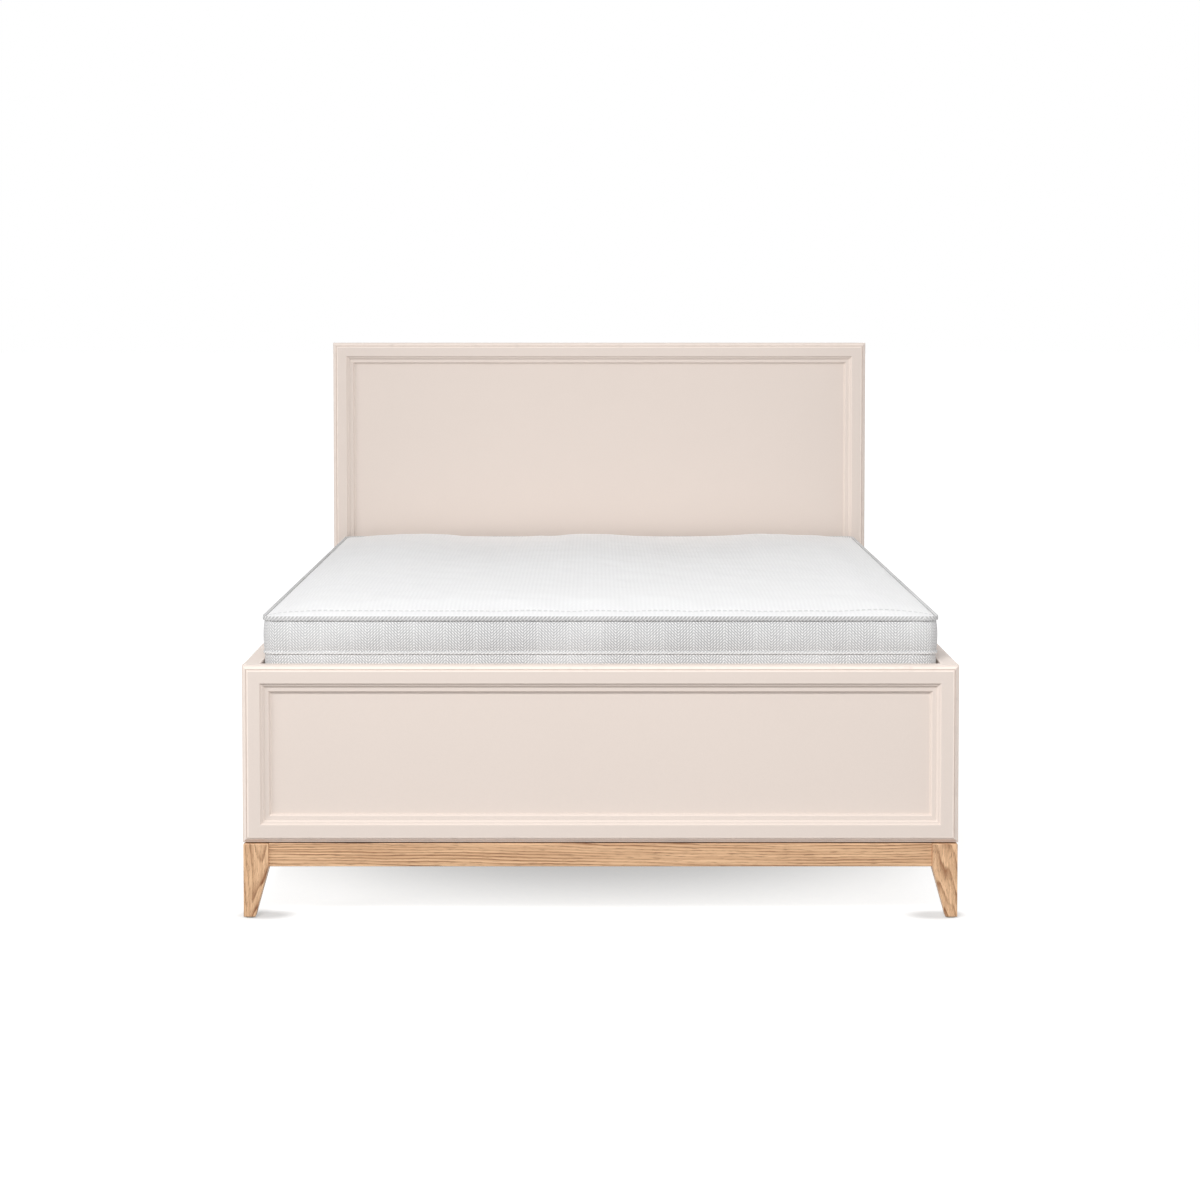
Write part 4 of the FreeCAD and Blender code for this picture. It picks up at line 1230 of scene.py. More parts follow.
class Finishes:
    """Every finish of the bed, by the record's slot, built once."""

    def __init__(self) -> None:
        """Build the materials."""
        effects = Effects()
        kinds = (
            Paint("painted_wood", (235, 222, 213), 0.6),
            Wood("oak", (243, 201, 159), (140, 88, 48), 0.0054, 0.035, 0.88),
            Wood("pine", (236, 208, 164), (190, 140, 88), 0.009, 0.02, 0.8, 0.6),
            Wood("floor_board", (230, 219, 199), (190, 168, 134), 0.03, 0.3, 0.5, 0.6),
            Wood("beech", (226, 190, 150), (196, 150, 108), 0.0035, 0.012, 0.45, 0.42),
            CoatedSteel("frame_steel", (74, 75, 78)),
            CoatedSteel("strut_steel", (46, 46, 48), 0.25, 1600.0),
            BareSteel("plated_steel", (196, 198, 200)),
            BareSteel("polished_rod", (222, 223, 226), 0.14),
            Plastic("black_plastic", (50, 50, 51)),
            Plastic("nylon", (232, 229, 219), 0.45),
            Cloth("knitted_cover", (255, 255, 255), (241, 241, 242), 0.009, 0.018, 1.0, 0.0, 0.0006,
                  stitch_inset=0.045),
            Cloth("knitted_border", (254, 254, 254), (172, 172, 173), 0.0062, 0.032, 1.0, 0.1),
            Cloth("sewn_tape", (244, 244, 244), (172, 172, 172), 0.008, 5.0, 1.0, 0.0, 0.0007),
            Cloth("sewn_seam", (255, 255, 255), (204, 204, 204), 0.008, 5.0, 1.0, 0.0, 0.0007),
            Cloth("webbing", (132, 129, 126), (70, 68, 66), 0.003, 0.005, 0.8, 0.2, 0.0006, 0.8, 0.1),
        )
        self.made = {kind.name: kind.material(effects) for kind in kinds}

    def dress(self, piece: Object, *names: str) -> Object:
        """Give a piece its materials.

        Args:
            piece: the piece.
            names: the finishes, in the order of the piece's slots.

        Returns:
            The piece.
        """
        slots = np.empty(len(piece.data.polygons), np.int32)
        piece.data.polygons.foreach_get("material_index", slots)
        piece.data.materials.clear()
        for name in names:
            piece.data.materials.append(self.made[name])
        piece.data.polygons.foreach_set("material_index", np.minimum(slots, len(names) - 1))
        return piece


@dataclass
class Workshop:
    """What every sub-assembly needs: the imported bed, the finishes and a count for the planks."""

    bed: Bed
    finishes: Finishes
    planks: int = 0

    def plank(self) -> int:
        """Number the next plank."""
        self.planks += 1
        return self.planks

    def fit(self, piece: Object, slot: str, node: str, *finishes: str) -> Object:
        """Dress a piece and put it in its node's place.

        Args:
            piece: the piece.
            slot: the record's material slot.
            node: the node that it stands for.
            finishes: its finishes, or else the one that its slot names.

        Returns:
            The piece.
        """
        return self.bed.place(self.finishes.dress(piece, *(finishes or (slot,))), slot, node)

    def wooden(self, node: str, slot: str, surface: Surface, prefix: str = "") -> Object:
        """Make a piece of wood or board of a surface and put it in its node's place.

        Args:
            node: the node that it stands for.
            slot: its finish.
            surface: its shape.
            prefix: the first word of its name, or the finish's own name.

        Returns:
            The piece.
        """
        return self.fit(surface.object((prefix or slot) + "_" + node), slot, node)

    def blocks(self, node: str, slot: str, grain: Grain, radius: float, prefix: str = "",
               gap: float = 0.0) -> Object:
        """Make each solid of a node a rounded block with its own plank.

        Args:
            node: the node.
            slot: its finish.
            grain: the way the grain runs.
            radius: the rounding of the edges.
            prefix: the first word of its name.
            gap: the open line left above it.

        Returns:
            The piece.
        """
        parts = [block(low, high - Z_AXIS * gap, radius).set_grain(grain, self.plank())
                 for low, high in self.bed.solids(node)]
        return self.wooden(node, slot, joined(parts), prefix)

    def hardware(self, node: str, slot: str, width: float) -> Object:
        """Ease the edges of a node's own shape in a copy, and dress it.

        Args:
            node: the node.
            slot: its finish.
            width: the bevel's width.

        Returns:
            The piece.
        """
        return self.fit(softened_copy(node, "eased_" + node, width), slot, node)


# The bed's sub-assemblies


@dataclass
class Board:
    """The headboard or the footboard: a flat panel held in four mitred, moulded members.

    The member's section is given in millimetres, as place, place and trim length of each corner.
    """

    name: str
    panel_radius: float = 0.6 * MM
    member_section: tuple[Triple, ...] = (
        (0, 0, 1.5), (0, 26.2, 0.9), (3.2, 27.4, 0.4), (7.9, 33.2, 0.3), (9.2, 31.4, 0.3), (10.2, 34.3, 0.4),
        (12.8, 35, 0.6), (36.9, 35, 0.25), (40.2, 30.6, 0.25), (42.2, 30.4, 0.3), (46.2, 25.8, 0.4),
        (54.2, 25.4, 0.3), (57.2, 20.5, 0.3), (59, 20.2, 0.3), (59, 19, 0.3), (49, 19, 0.1), (49, 7, 0.1),
        (59, 7, 0.3), (59, 0, 1.0))
    # Slopes of the rim that take the paint's painted highlight, deeper than lit_depth, and the outer corner
    # that takes none, in millimetres
    lit_slopes: tuple[Pair, ...] = ((2.9, 7.8), (10.1, 13.2))
    lit_depth: float = 26.0
    plain_corner: float = 2.0
    plain_depth: float = 24.0

    def build(self, shop: Workshop) -> None:
        """Build the members about the board's box, and the panel.

        The outer corner takes no lighter edge; the slopes that face up at the moulding's rim take one, a
        painted highlight where the light falls on them.

        Args:
            shop: the bed and its finishes.
        """
        names = [self.name + word for word in ("_top_rail", "_bottom_rail", "_right_stile", "_left_stile")]
        low, high = shop.bed.box(*names)
        middle = (low + high) / 2
        half_width, half_height = (high[0] - low[0]) / 2, (high[2] - low[2]) / 2
        section = rounded(np.array(self.member_section) * MM)
        u, v = (section.points / MM).T
        # The edge value lays the paint's painted highlight on the up-facing slopes and none on the outer
        # corner; inner corners keep a negative value, which paints shade
        section.edge[(u < self.plain_corner) & (v > self.plain_depth)] = 0.0
        for start, end in self.lit_slopes:
            section.edge[(u > start) & (u < end) & (v > self.lit_depth)] = 1.0
        back = high[1]
        frames = (
            ((0.0, back, high[2]), -Z_AXIS, -X_AXIS, half_width, Grain.ACROSS),
            ((0.0, back, low[2]), Z_AXIS, X_AXIS, half_width, Grain.ACROSS),
            ((high[0], back, middle[2]), -X_AXIS, Z_AXIS, half_height, Grain.UPRIGHT),
            ((low[0], back, middle[2]), X_AXIS, -Z_AXIS, half_height, Grain.UPRIGHT))
        for name, (origin, inwards, along, reach, grain) in zip(names, frames):
            surface = member(section, np.array(origin), inwards, -Y_AXIS, along, reach)
            shop.wooden(name, "painted_wood", surface.set_grain(grain, shop.plank()), "painted")
        shop.blocks(self.name + "_panel", "painted_wood", Grain.ACROSS, self.panel_radius, "painted")


@dataclass
class Carcass:
    """Side rails, legs, plinth, storage floor and the rests of the closed platform."""

    rail_radius: float = 2.0 * MM
    leg_radius: float = 2.2 * MM
    plinth_radius: float = 1.4 * MM
    shadow_gap: float = 2.2 * MM
    leg_square: float = 52 * MM
    leg_toe: float = 24.5 * MM
    taper_top: float = 107 * MM
    leg_cuts: int = 24
    leg_tilt: float = 0.1
    panel_radius: float = 0.6 * MM
    centre_leg_rim: Pair = (3 * MM, 2 * MM)
    centre_leg_faces: int = 40
    glide_ease: float = 0.8 * MM
    bars: tuple[tuple[str, Grain, float], ...] = (
        ("floor_battens", Grain.ACROSS, 1.5 * MM), ("centre_beam", Grain.ALONG, 1.8 * MM),
        ("foot_rest_rail", Grain.ACROSS, 1.8 * MM), ("side_rest_blocks", Grain.ALONG, 1.5 * MM))

    def leg(self, low: Array, high: Array, seed: int) -> Surface:
        """Make a leg: its two inner faces draw towards the outer corner below the plinth.

        Place across = outer corner + (place - outer corner) * s, where s falls evenly with height from 1 at
        the plinth's underside to toe / square at the foot.

        Args:
            low: the leg's lowest corner.
            high: its highest corner.
            seed: the plank's number.

        Returns:
            The leg.
        """
        body = block(low, high, self.leg_radius, cuts=(1, 1, self.leg_cuts))
        outer = np.where(np.abs(low) > np.abs(high), low, high)[:2]
        body.set_grain(Grain.UPRIGHT, seed, self.leg_tilt)

        def tapered(points: Array) -> Array:
            """Draw points towards the outer corner.

            Args:
                points: the points.

            Returns:
                Their new places.
            """
            fall = np.clip((self.taper_top - points[:, 2:]) / (self.taper_top - low[2]), 0, 1)
            share = 1 - fall * (1 - self.leg_toe / self.leg_square)
            return np.hstack((outer + (points[:, :2] - outer) * share, points[:, 2:]))

        slope = (self.leg_square - self.leg_toe) / (self.taper_top - low[2])
        inward = np.abs(body.points[:, :2] - outer) > self.leg_square / 2
        below = body.points[:, 2:] < self.taper_top
        lean = (inward & below) * np.abs(body.normals[:, :2])
        body.normals[:, 2] -= lean.sum(1) * slope
        body.normals /= np.linalg.norm(body.normals, axis=1, keepdims=True)
        return body.moved(tapered)

    def build(self, shop: Workshop) -> None:
        """Build the box of the bed from the floor up.

        Args:
            shop: the bed and its finishes.
        """
        for half in Half:
            shop.blocks(half.word + "_side_rail", "painted_wood", Grain.ALONG, self.rail_radius, "painted")
            shop.blocks(half.word + "_plinth_rail", "oak", Grain.ALONG, self.plinth_radius,
                        gap=self.shadow_gap)
            shop.blocks(half.word + "_floor_panel", "floor_board", Grain.ALONG, self.panel_radius, "board")
            for end in ("front_", "rear_"):
                node = end + half.word + "_leg"
                low, high = shop.bed.box(node)
                shop.wooden(node, "oak", self.leg(low, high - Z_AXIS * self.shadow_gap, shop.plank()))
        for end in ("front", "rear"):
            shop.blocks(end + "_plinth_rail", "oak", Grain.ACROSS, self.plinth_radius, gap=self.shadow_gap)
        for node, grain, radius in self.bars:
            shop.blocks(node, "pine", grain, radius)
        strip, trim = self.centre_leg_rim
        legs = []
        for low, high in shop.bed.solids("centre_legs"):
            radius, height = (high[0] - low[0]) / 2, high[2] - low[2]
            profile = rounded(((radius - strip, height, 0), (radius, height, trim), (radius, 0, trim),
                               (radius - strip, 0, 0)), closed=False)
            foot = np.array([(low[0] + high[0]) / 2, (low[1] + high[1]) / 2, low[2]])
            leg = lathed(profile, foot, Z_AXIS, self.centre_leg_faces)
            legs.append(leg.set_grain(Grain.UPRIGHT, shop.plank()))
        shop.wooden("centre_legs", "pine", joined(legs))
        shop.hardware("leg_glides", "nylon", self.glide_ease)


@dataclass
class Lift:
    """Brackets, hinge plates, arms, tracks and gas struts."""

    steel: tuple[tuple[str, float], ...] = (
        ("corner_brackets", 0.5 * MM), ("bracket_bolts", 0.3 * MM), ("right_hinge_plate", 0.5 * MM),
        ("left_hinge_plate", 0.5 * MM), ("right_glide_track", 0.3 * MM), ("left_glide_track", 0.3 * MM),
        ("plate_screws", 0.2 * MM), ("right_lift_arm", 0.7 * MM), ("left_lift_arm", 0.7 * MM))
    struts: tuple[tuple[str, str, float], ...] = (
        ("_strut_barrel", "strut_steel", 0.5 * MM), ("_strut_rod", "polished_rod", 0.3 * MM))

    def build(self, shop: Workshop) -> None:
        """Build the lift's steel and its struts.

        Args:
            shop: the bed and its finishes.
        """
        for node, width in self.steel:
            shop.hardware(node, "plated_steel", width)
        for half in Half:
            for node, slot, width in self.struts:
                shop.hardware(half.word + node, slot, width)


@dataclass
class Platform:
    """The steel frame that lifts, its slats in their holders, the mattress stops and the pull strap."""

    tube_wall: float = 2 * MM
    tube_corner: float = 3 * MM
    wire: float = 4 * MM
    wire_bend: float = 20 * MM
    wire_faces: int = 20
    strap_thickness: float = 2 * MM
    tube_ease: float = 0.3 * MM
    strap_ease: float = 0.7 * MM
    bracket_ease: float = 0.5 * MM
    slat_radius: float = 2.4 * MM
    hardware: tuple[tuple[str, str, float], ...] = (
        ("platform_pins", "plated_steel", 0.3 * MM), ("track_glides", "nylon", 0.4 * MM),
        ("slat_holders", "black_plastic", 0.8 * MM))

    def tube(self, low: Array, high: Array) -> Surface:
        """Make an open square tube: the wall's section carried round the tube's outline.

        Args:
            low: its lowest corner.
            high: its highest corner.

        Returns:
            The tube, closed between its outer and inner face.
        """
        axis = int(np.argmax(high - low))
        e1, e2 = np.eye(3)[(axis + 1) % 3], np.eye(3)[(axis + 2) % 3]
        half = np.array([(high - low) @ e1, (high - low) @ e2]) / 2
        corners = np.array([(-1, -1), (1, -1), (1, 1), (-1, 1)]) * half
        route = rounded(np.hstack((corners, np.full((4, 1), self.tube_corner))), steps=5)
        length, ease = high[axis] - low[axis], self.tube_ease
        section = rounded(((0, 0, ease), (0, length, ease), (self.tube_wall, length, ease),
                           (self.tube_wall, 0, ease)), steps=3)
        origin = (low + high) / 2
        origin[axis] = low[axis]
        surface = carried(section, route, origin, e1, e2)
        surface.edge[:] = np.maximum(surface.edge, np.repeat(route.edge, len(section.points)))
        return surface

    def stops(self, shop: Workshop) -> None:
        """Bend one wire to an upside-down U for each stop.

        Args:
            shop: the bed and its finishes.
        """
        low, high = shop.bed.box("mattress_stops")
        posts = shop.bed.solids("mattress_stops")
        radius = self.wire
        parts = []
        for group in self.pairs(posts):
            left, right = group[0] + radius, group[1] - radius
            top = high[2] - radius
            route = rounded(((left, low[2], 0), (left, top, self.wire_bend), (right, top, self.wire_bend),
                             (right, low[2], 0)), closed=False, steps=11)
            origin = np.array([0.0, (low[1] + high[1]) / 2, 0.0])
            ring = circle(radius, self.wire_faces)
            parts.append(carried(ring, route, origin, X_AXIS, Z_AXIS, closed=False))
        shop.fit(joined(parts).object("bent_mattress_stops"), "plated_steel", "mattress_stops")

    def pairs(self, posts: Sequence[tuple[Array, Array]]) -> list[tuple[float, float]]:
        """Give the outer reach of each stop from the boxes of its solids.

        Args:
            posts: the boxes of the stops' solids.

        Returns:
            The lowest and highest x of the stop on each half.
        """
        spans = []
        for half in Half:
            own = [(low[0], high[0]) for low, high in posts if (low[0] + high[0]) * half.value > 0]
            spans.append((min(one for one, _ in own), max(two for _, two in own)))
        return spans

    def strap(self, shop: Workshop) -> None:
        """Fold a webbing band to a standing loop: up, over and down again.

        Args:
            shop: the bed and its finishes.
        """
        low, high = shop.bed.box("pull_strap")
        thick = self.strap_thickness / 2
        near, far = low[1] + thick, high[1] - thick
        bend = (far - near) / 2
        route = rounded(((near, low[2], 0), (near, high[2] - thick, bend), (far, high[2] - thick, bend),
                         (far, low[2], 0)), closed=False, steps=9)
        half, ease = (high[0] - low[0]) / 2, self.strap_ease
        section = rounded(((-thick, -half, ease), (-thick, half, ease), (thick, half, ease),
                           (thick, -half, ease)), steps=4)
        surface = carried(section, route, np.zeros(3), Y_AXIS, Z_AXIS, closed=False)
        surface.set_grain(Grain.UPRIGHT, shop.plank())
        shop.fit(surface.object("folded_pull_strap"), "webbing", "pull_strap")

    def build(self, shop: Workshop) -> None:
        """Build the platform.

        Args:
            shop: the bed and its finishes.
        """
        for place in ("right", "left", "foot", "head", "centre"):
            node = place + "_frame_tube"
            shop.fit(self.tube(*shop.bed.box(node)).object("coated_" + node), "frame_steel", node)
        for half in Half:
            shop.hardware(half.word + "_frame_brackets", "plated_steel", self.bracket_ease)
            shop.blocks(half.word + "_slats", "beech", Grain.ACROSS, self.slat_radius)
        for node, slot, width in self.hardware:
            shop.hardware(node, slot, width)
        self.stops(shop)
        self.strap(shop)


@dataclass
class Mattress:
    """A padded cover with a crowned top, and two sewn tapes round its border.

    The cuts of its grid are given in millimetres above its underside, above its seam and from its rim.
    """

    corner: float = 32 * MM
    pitch: float = 18 * MM
    tape_level: float = 617.5 * MM
    seam_level: float = 543.8 * MM
    tape_inset: float = 7.0 * MM
    seam_inset: float = 5.0 * MM
    above_rails: float = 530 * MM
    widening: float = 2.6 * MM
    foot_inset: float = 4.0 * MM
    crown: float = 20 * MM
    roll: float = 130 * MM
    head_fall: float = 12 * MM
    side_cap: float = 4.5 * MM
    top_cap: float = 4.0 * MM
    proud: float = 1.5 * MM
    least_inset: float = 0.4 * MM
    bulge: float = 0.8
    widening_rise: float = 15 * MM
    crown_power: float = 0.85
    broad_wave: Triple = (0.0055, 0.48, 0.02)
    broad_reach: Pair = (-0.3, 0.4)
    cross_wave: float = 1.5 * MM
    cross_lengths: Pair = (1.1, 0.74)
    cross_turn: float = 0.8
    fall_reach: Pair = (0.25, 0.95)
    lower_cuts: tuple[int, ...] = (0, 4, 12, 26, 44, 62, 80, 96, 108, 116)
    upper_cuts: tuple[int, ...] = (0, 5, 14, 26, 40, 53, 63, 70)
    edge_cuts: tuple[int, ...] = (5, 12)
    pressure: float = 4.0
    stretch_stiffness: float = 40.0
    bend_stiffness: float = 2.0
    frames: int = 20
    gather: float = 0.35 * MM
    gather_lengths: Pair = (0.031, 0.0473)
    gather_fade: Pair = (12 * MM, 9 * MM)
    gather_drop: float = 8 * MM
    second_share: float = 0.6
    second_turn: float = 1.3
    side_share: float = 0.985
    ripples: int = 40
    ripple_seed: int = 7
    ripple_lengths: Pair = (0.05, 0.16)
    ripple_length: float = 0.1
    ripple_height: float = 0.22 * MM
    ripple_rise: Pair = (3 * MM, 14 * MM)
    tape_thickness: float = 5 * MM
    tape_trims: Pair = (1.6 * MM, 0.5 * MM)
    tape_lean: float = 0.4
    tape_drop: float = 2 * MM
    tape_size: Pair = (10 * MM, 1.2 * MM)
    seam_size: Pair = (6 * MM, 2.5 * MM)
    low: Array = field(init=False)
    high: Array = field(init=False)
    floor: float = field(init=False)

    def inset(self, z: Array) -> Array:
        """Say how far the border draws in at a height.

        Between two seams the border stands out as the root of a half sine; each seam pulls it in.

        Args:
            z: the heights.

        Returns:
            The distance inside the mattress's widest outline.
        """
        low = np.clip((z - self.floor) / (self.seam_level - self.floor), 0, 1)
        high = np.clip((z - self.seam_level) / (self.tape_level - self.seam_level), 0, 1)
        lower = self.foot_inset * (1 - low) + self.seam_inset * low
        upper = self.seam_inset * (1 - high) + self.tape_inset * high
        lower *= 1 - np.sin(np.pi * low) ** 0.5 * self.bulge
        upper *= 1 - np.sin(np.pi * high) ** 0.5 * self.bulge
        return np.where(z > self.seam_level, upper, lower) + self.least_inset

    def above(self, points: Array) -> Array:
        """Rise from 0 to 1 over the height at which the border clears the side rails."""
        return soft_step(points[:, 2], self.above_rails, self.above_rails + self.widening_rise)

    def widened(self, points: Array) -> Array:
        """Spread the points above the side rails sideways, in proportion to x.

        Args:
            points: the points.

        Returns:
            The moved points.
        """
        points[:, 0] *= 1 + self.widening / self.high[0] * self.above(points)
        return points

    def crown_height(self, x: Array, y: Array) -> Array:
        """Say how high the top stands above the tape.

        Crown * sine rise from each edge, less a smooth fall to the head, plus long low waves.

        Args:
            x: places across.
            y: places along.

        Returns:
            The heights above the tape level.
        """
        def rise(distance: Array) -> Array:
            """Rise from an edge as a quarter sine."""
            return np.sin(np.pi / 2 * np.clip(distance / self.roll, 0, 1)) ** self.crown_power

        across = rise(x - self.low[0]) * rise(self.high[0] - x)
        along = rise(y - self.low[1]) * rise(self.high[1] - y)
        height, length, shift = self.broad_wave
        waves = height * np.cos(2 * np.pi * (x + shift) / length) * soft_step(y, *self.broad_reach)
        wide, long = self.cross_lengths
        swing = np.cos(2 * np.pi * y / long + self.cross_turn)
        waves += self.cross_wave * swing * np.cos(2 * np.pi * x / wide)
        fall = self.head_fall * soft_step(y, *self.fall_reach)
        return across * along * (self.crown - fall + waves)

    def outline(self, inset: float, steps: int = 25) -> Outline:
        """Give the mattress's plan outline, counter-clockwise, drawn in by an inset.

        Args:
            inset: the distance inside the widest outline.
            steps: points on each corner.

        Returns:
            The closed outline, with true quarter circles.
        """
        low, high = self.low[:2] + self.corner, self.high[:2] - self.corner
        centres = np.array([(high[0], low[1]), (high[0], high[1]), (low[0], high[1]), (low[0], low[1])])
        start = np.array([-0.5, 0.0, 0.5, 1.0]) * np.pi
        angle = start[:, None] + np.linspace(0, np.pi / 2, steps)[None, :]
        ray = np.stack((np.cos(angle), np.sin(angle)), 2)
        points = (centres[:, None] + ray * (self.corner - inset)).reshape(-1, 2)
        return Outline(points, -ray.reshape(-1, 2), np.zeros(len(points)))

    def shell(self) -> tuple[Surface, Array]:
        """Lay a grid on the mattress's box and bend it to the cover's form.

        In plan a point moves along its ray from the nearest corner centre by (radius - inset) / radius and
        by the greater part over the ray's length, which turns the square corner into a quarter circle. Top
        points then rise by the crown.

        Returns:
            The welded cover and its points' places before bending.
        """
        low, high = self.low, self.high
        counts = [int(round((high[i] - low[i]) / self.pitch)) + 1 for i in (0, 1)]
        spaced = [np.linspace(low[i], high[i], counts[i]) for i in (0, 1)]
        levels = np.array(self.lower_cuts) * MM + self.floor
        upper = np.array(self.upper_cuts) * MM + self.seam_level
        edges = np.array(self.edge_cuts) * MM
        across = [np.sort(np.concatenate((line, line[0] + edges, line[-1] - edges))) for line in spaced]
        surface, side = box_grid((*across, np.concatenate((levels, upper, [self.tape_level]))))
        flat = surface.points.copy()
        top = flat[:, 2] > self.tape_level - SAME_PLACE
        core = np.clip(flat[:, :2], low[:2] + self.corner, high[:2] - self.corner)
        out = flat[:, :2] - core
        length = np.maximum(np.hypot(out[:, 0], out[:, 1]), SMALLEST)
        share = (self.corner - self.inset(flat[:, 2])) / self.corner
        scale = share * np.abs(out).max(1) / length
        surface.points[:, :2] = core + out * scale[:, None]
        surface.points[:, 2] += top * self.crown_height(flat[:, 0], flat[:, 1])
        surface.moved(self.widened)
        corners = surface.quads
        along = np.where((side % 3 == 0)[:, None], flat[corners][..., 1] + low[0], flat[corners][..., 0])
        height = np.where((side % 3 == 2)[:, None], flat[corners][..., 1], flat[corners][..., 2])
        surface.corner_uv = np.stack((along, height), 2).reshape(-1, 2)
        surface.finish = np.where(side % 3 == 2, 0, 1)
        order = np.round(surface.points / SAME_PLACE).astype(np.int64)
        _, first = np.unique(order, axis=0, return_index=True)
        return surface.welded(), flat[first]

    def swell(self, cover: Object, flat: Array) -> Array:
        """Blow the cover up as cloth, held at its tapes and underneath, and read where it goes.

        Args:
            cover: the cover's object.
            flat: its points' places before bending.

        Returns:
            The points' new places.
        """
        on_tape = np.abs(flat[:, 2] - self.tape_level) < SAME_PLACE
        rim = np.minimum.reduce((flat[:, 0] - self.low[0], self.high[0] - flat[:, 0],
                                 flat[:, 1] - self.low[1], self.high[1] - flat[:, 1]))
        on_seam = np.abs(flat[:, 2] - self.seam_level) < SAME_PLACE
        held = (on_tape & (rim < SAME_PLACE)) | on_seam | (flat[:, 2] < self.floor + SAME_PLACE)
        group = cover.vertex_groups.new(name="sewn")
        group.add(np.flatnonzero(held).tolist(), 1.0, "REPLACE")
        cloth = cover.modifiers.new("swell", "CLOTH")
        settings = cloth.settings
        settings.vertex_group_mass = "sewn"
        settings.use_pressure = True
        settings.uniform_pressure_force = self.pressure
        settings.effector_weights.gravity = 0.0
        settings.quality = 4
        settings.tension_stiffness = settings.compression_stiffness = self.stretch_stiffness
        settings.bending_stiffness = self.bend_stiffness
        cloth.collision_settings.use_collision = False
        cloth.point_cache.frame_start, cloth.point_cache.frame_end = 1, self.frames
        scene = bpy.context.scene
        for number in range(1, self.frames + 1):
            scene.frame_set(number)
        places = read_places(cover.evaluated_get(bpy.context.evaluated_depsgraph_get()).data)
        cover.modifiers.remove(cloth)
        cover.vertex_groups.clear()
        scene.frame_set(1)
        return places

    def cover(self, shop: Workshop) -> None:
        """Make the cover: bend it, swell it, cap the movement, subdivide and gather it along its seams.

        Args:
            shop: the bed and its finishes.
        """
        surface, flat = self.shell()
        piece = surface.object("padded_mattress_cover", custom_normals=False)
        start = surface.points
        move = self.swell(piece, flat) - start
        top = flat[:, 2] > self.tape_level - SAME_PLACE
        cap = np.where(top, self.top_cap, self.side_cap)
        length = np.maximum(np.linalg.norm(move, axis=1), SMALLEST)
        move *= (cap * np.tanh(length / cap) / length)[:, None]
        write_places(piece.data, start + move)
        log.info("mattress cover swelled by up to %.1f mm", np.linalg.norm(move, axis=1).max() / MM)
        finer = piece.modifiers.new("finer", "SUBSURF")
        finer.levels = finer.render_levels = 1
        depsgraph = bpy.context.evaluated_depsgraph_get()
        mesh = bpy.data.meshes.new_from_object(piece.evaluated_get(depsgraph), preserve_all_data_layers=True,
                                               depsgraph=depsgraph)
        piece.modifiers.remove(finer)
        piece.data = mesh
        write_places(mesh, self.gathered(read_places(mesh)))
        mesh.update()
        shop.fit(piece, "knitted_cover", "mattress", "knitted_cover", "knitted_border")

    def gathered(self, points: Array) -> Array:
        """Gather the cloth beside its seams, ripple its top and keep it inside its space.

        Near a seam the border moves in by two sines of the way round, which fade with height as a bell; the
        top is the sum of many faint waves of all directions.

        Args:
            points: the cover's points.

        Returns:
            The moved points.
        """
        way = points[:, 0] + points[:, 1]
        seam_fade, tape_fade = self.gather_fade
        near = np.exp(-((points[:, 2] - self.seam_level) / seam_fade) ** 2)
        near += np.exp(-((points[:, 2] - self.tape_level + self.gather_drop) / tape_fade) ** 2)
        first, second = 2 * np.pi / np.array(self.gather_lengths)
        ripple = np.sin(way * first) + self.second_share * np.sin(way * second + self.second_turn)
        middle = (self.low + self.high)[:2] / 2
        half = (self.high - self.low)[:2] / 2
        toward = np.abs(points[:, :2] - middle) / half
        on_side = (toward.max(1) > self.side_share) & (points[:, 2] < self.tape_level)
        drawn = self.gather * (1 + ripple) * near * on_side
        points[:, :2] -= (points[:, :2] - middle) / np.linalg.norm(half) * drawn[:, None]
        rng = np.random.default_rng(self.ripple_seed)
        turn, long = rng.uniform(0, np.pi, self.ripples), rng.uniform(*self.ripple_lengths, self.ripples)
        start = rng.uniform(0, 2 * np.pi, self.ripples)
        waves = np.stack((np.cos(turn), np.sin(turn))) * 2 * np.pi / long
        height = np.cos(points[:, :2] @ waves + start) @ (long / self.ripple_length) * self.ripple_height
        points[:, 2] += height * soft_step(points[:, 2] - self.tape_level, *self.ripple_rise)
        low = np.array([self.low[0] - self.proud, self.low[1] - self.proud, self.floor])
        high = np.array([self.high[0] + self.proud, self.high[1] + self.proud, 1.0])
        above = self.above(points) * self.widening
        points[:, 0] = np.clip(points[:, 0], low[0] - above, high[0] + above)
        return np.clip(points, low - X_AXIS, high + X_AXIS)

    def tape(self, shop: Workshop, node: str, finish: str, level: float, height: float,
             inset: float) -> None:
        """Carry a folded tape's section round the border.

        Args:
            shop: the bed and its finishes.
            node: the tape's node.
            finish: its cloth.
            level: the height of its middle.
            height: how wide the tape is.
            inset: how far inside the widest outline its face lies.
        """
        half, thick = height / 2, self.tape_thickness
        face, back = self.tape_trims
        section = rounded(((0, -half, face), (0, half, face), (thick, self.tape_lean * half, back),
                           (thick, -half, back)), steps=4)
        surface = carried(section, self.outline(inset), Z_AXIS * level, X_AXIS, Y_AXIS)
        shop.fit(surface.moved(self.widened).object("sewn_" + node), "sewn_tape", node, finish)

    def build(self, shop: Workshop) -> None:
        """Build the mattress.

        Args:
            shop: the bed and its finishes.
        """
        self.low, self.high = shop.bed.box("mattress")
        self.floor = float(self.low[2])
        self.cover(shop)
        top = self.tape_level - self.tape_drop
        self.tape(shop, "mattress_top_tape", "sewn_tape", top, *self.tape_size)
        self.tape(shop, "mattress_seam_tape", "sewn_seam", self.seam_level, *self.seam_size)


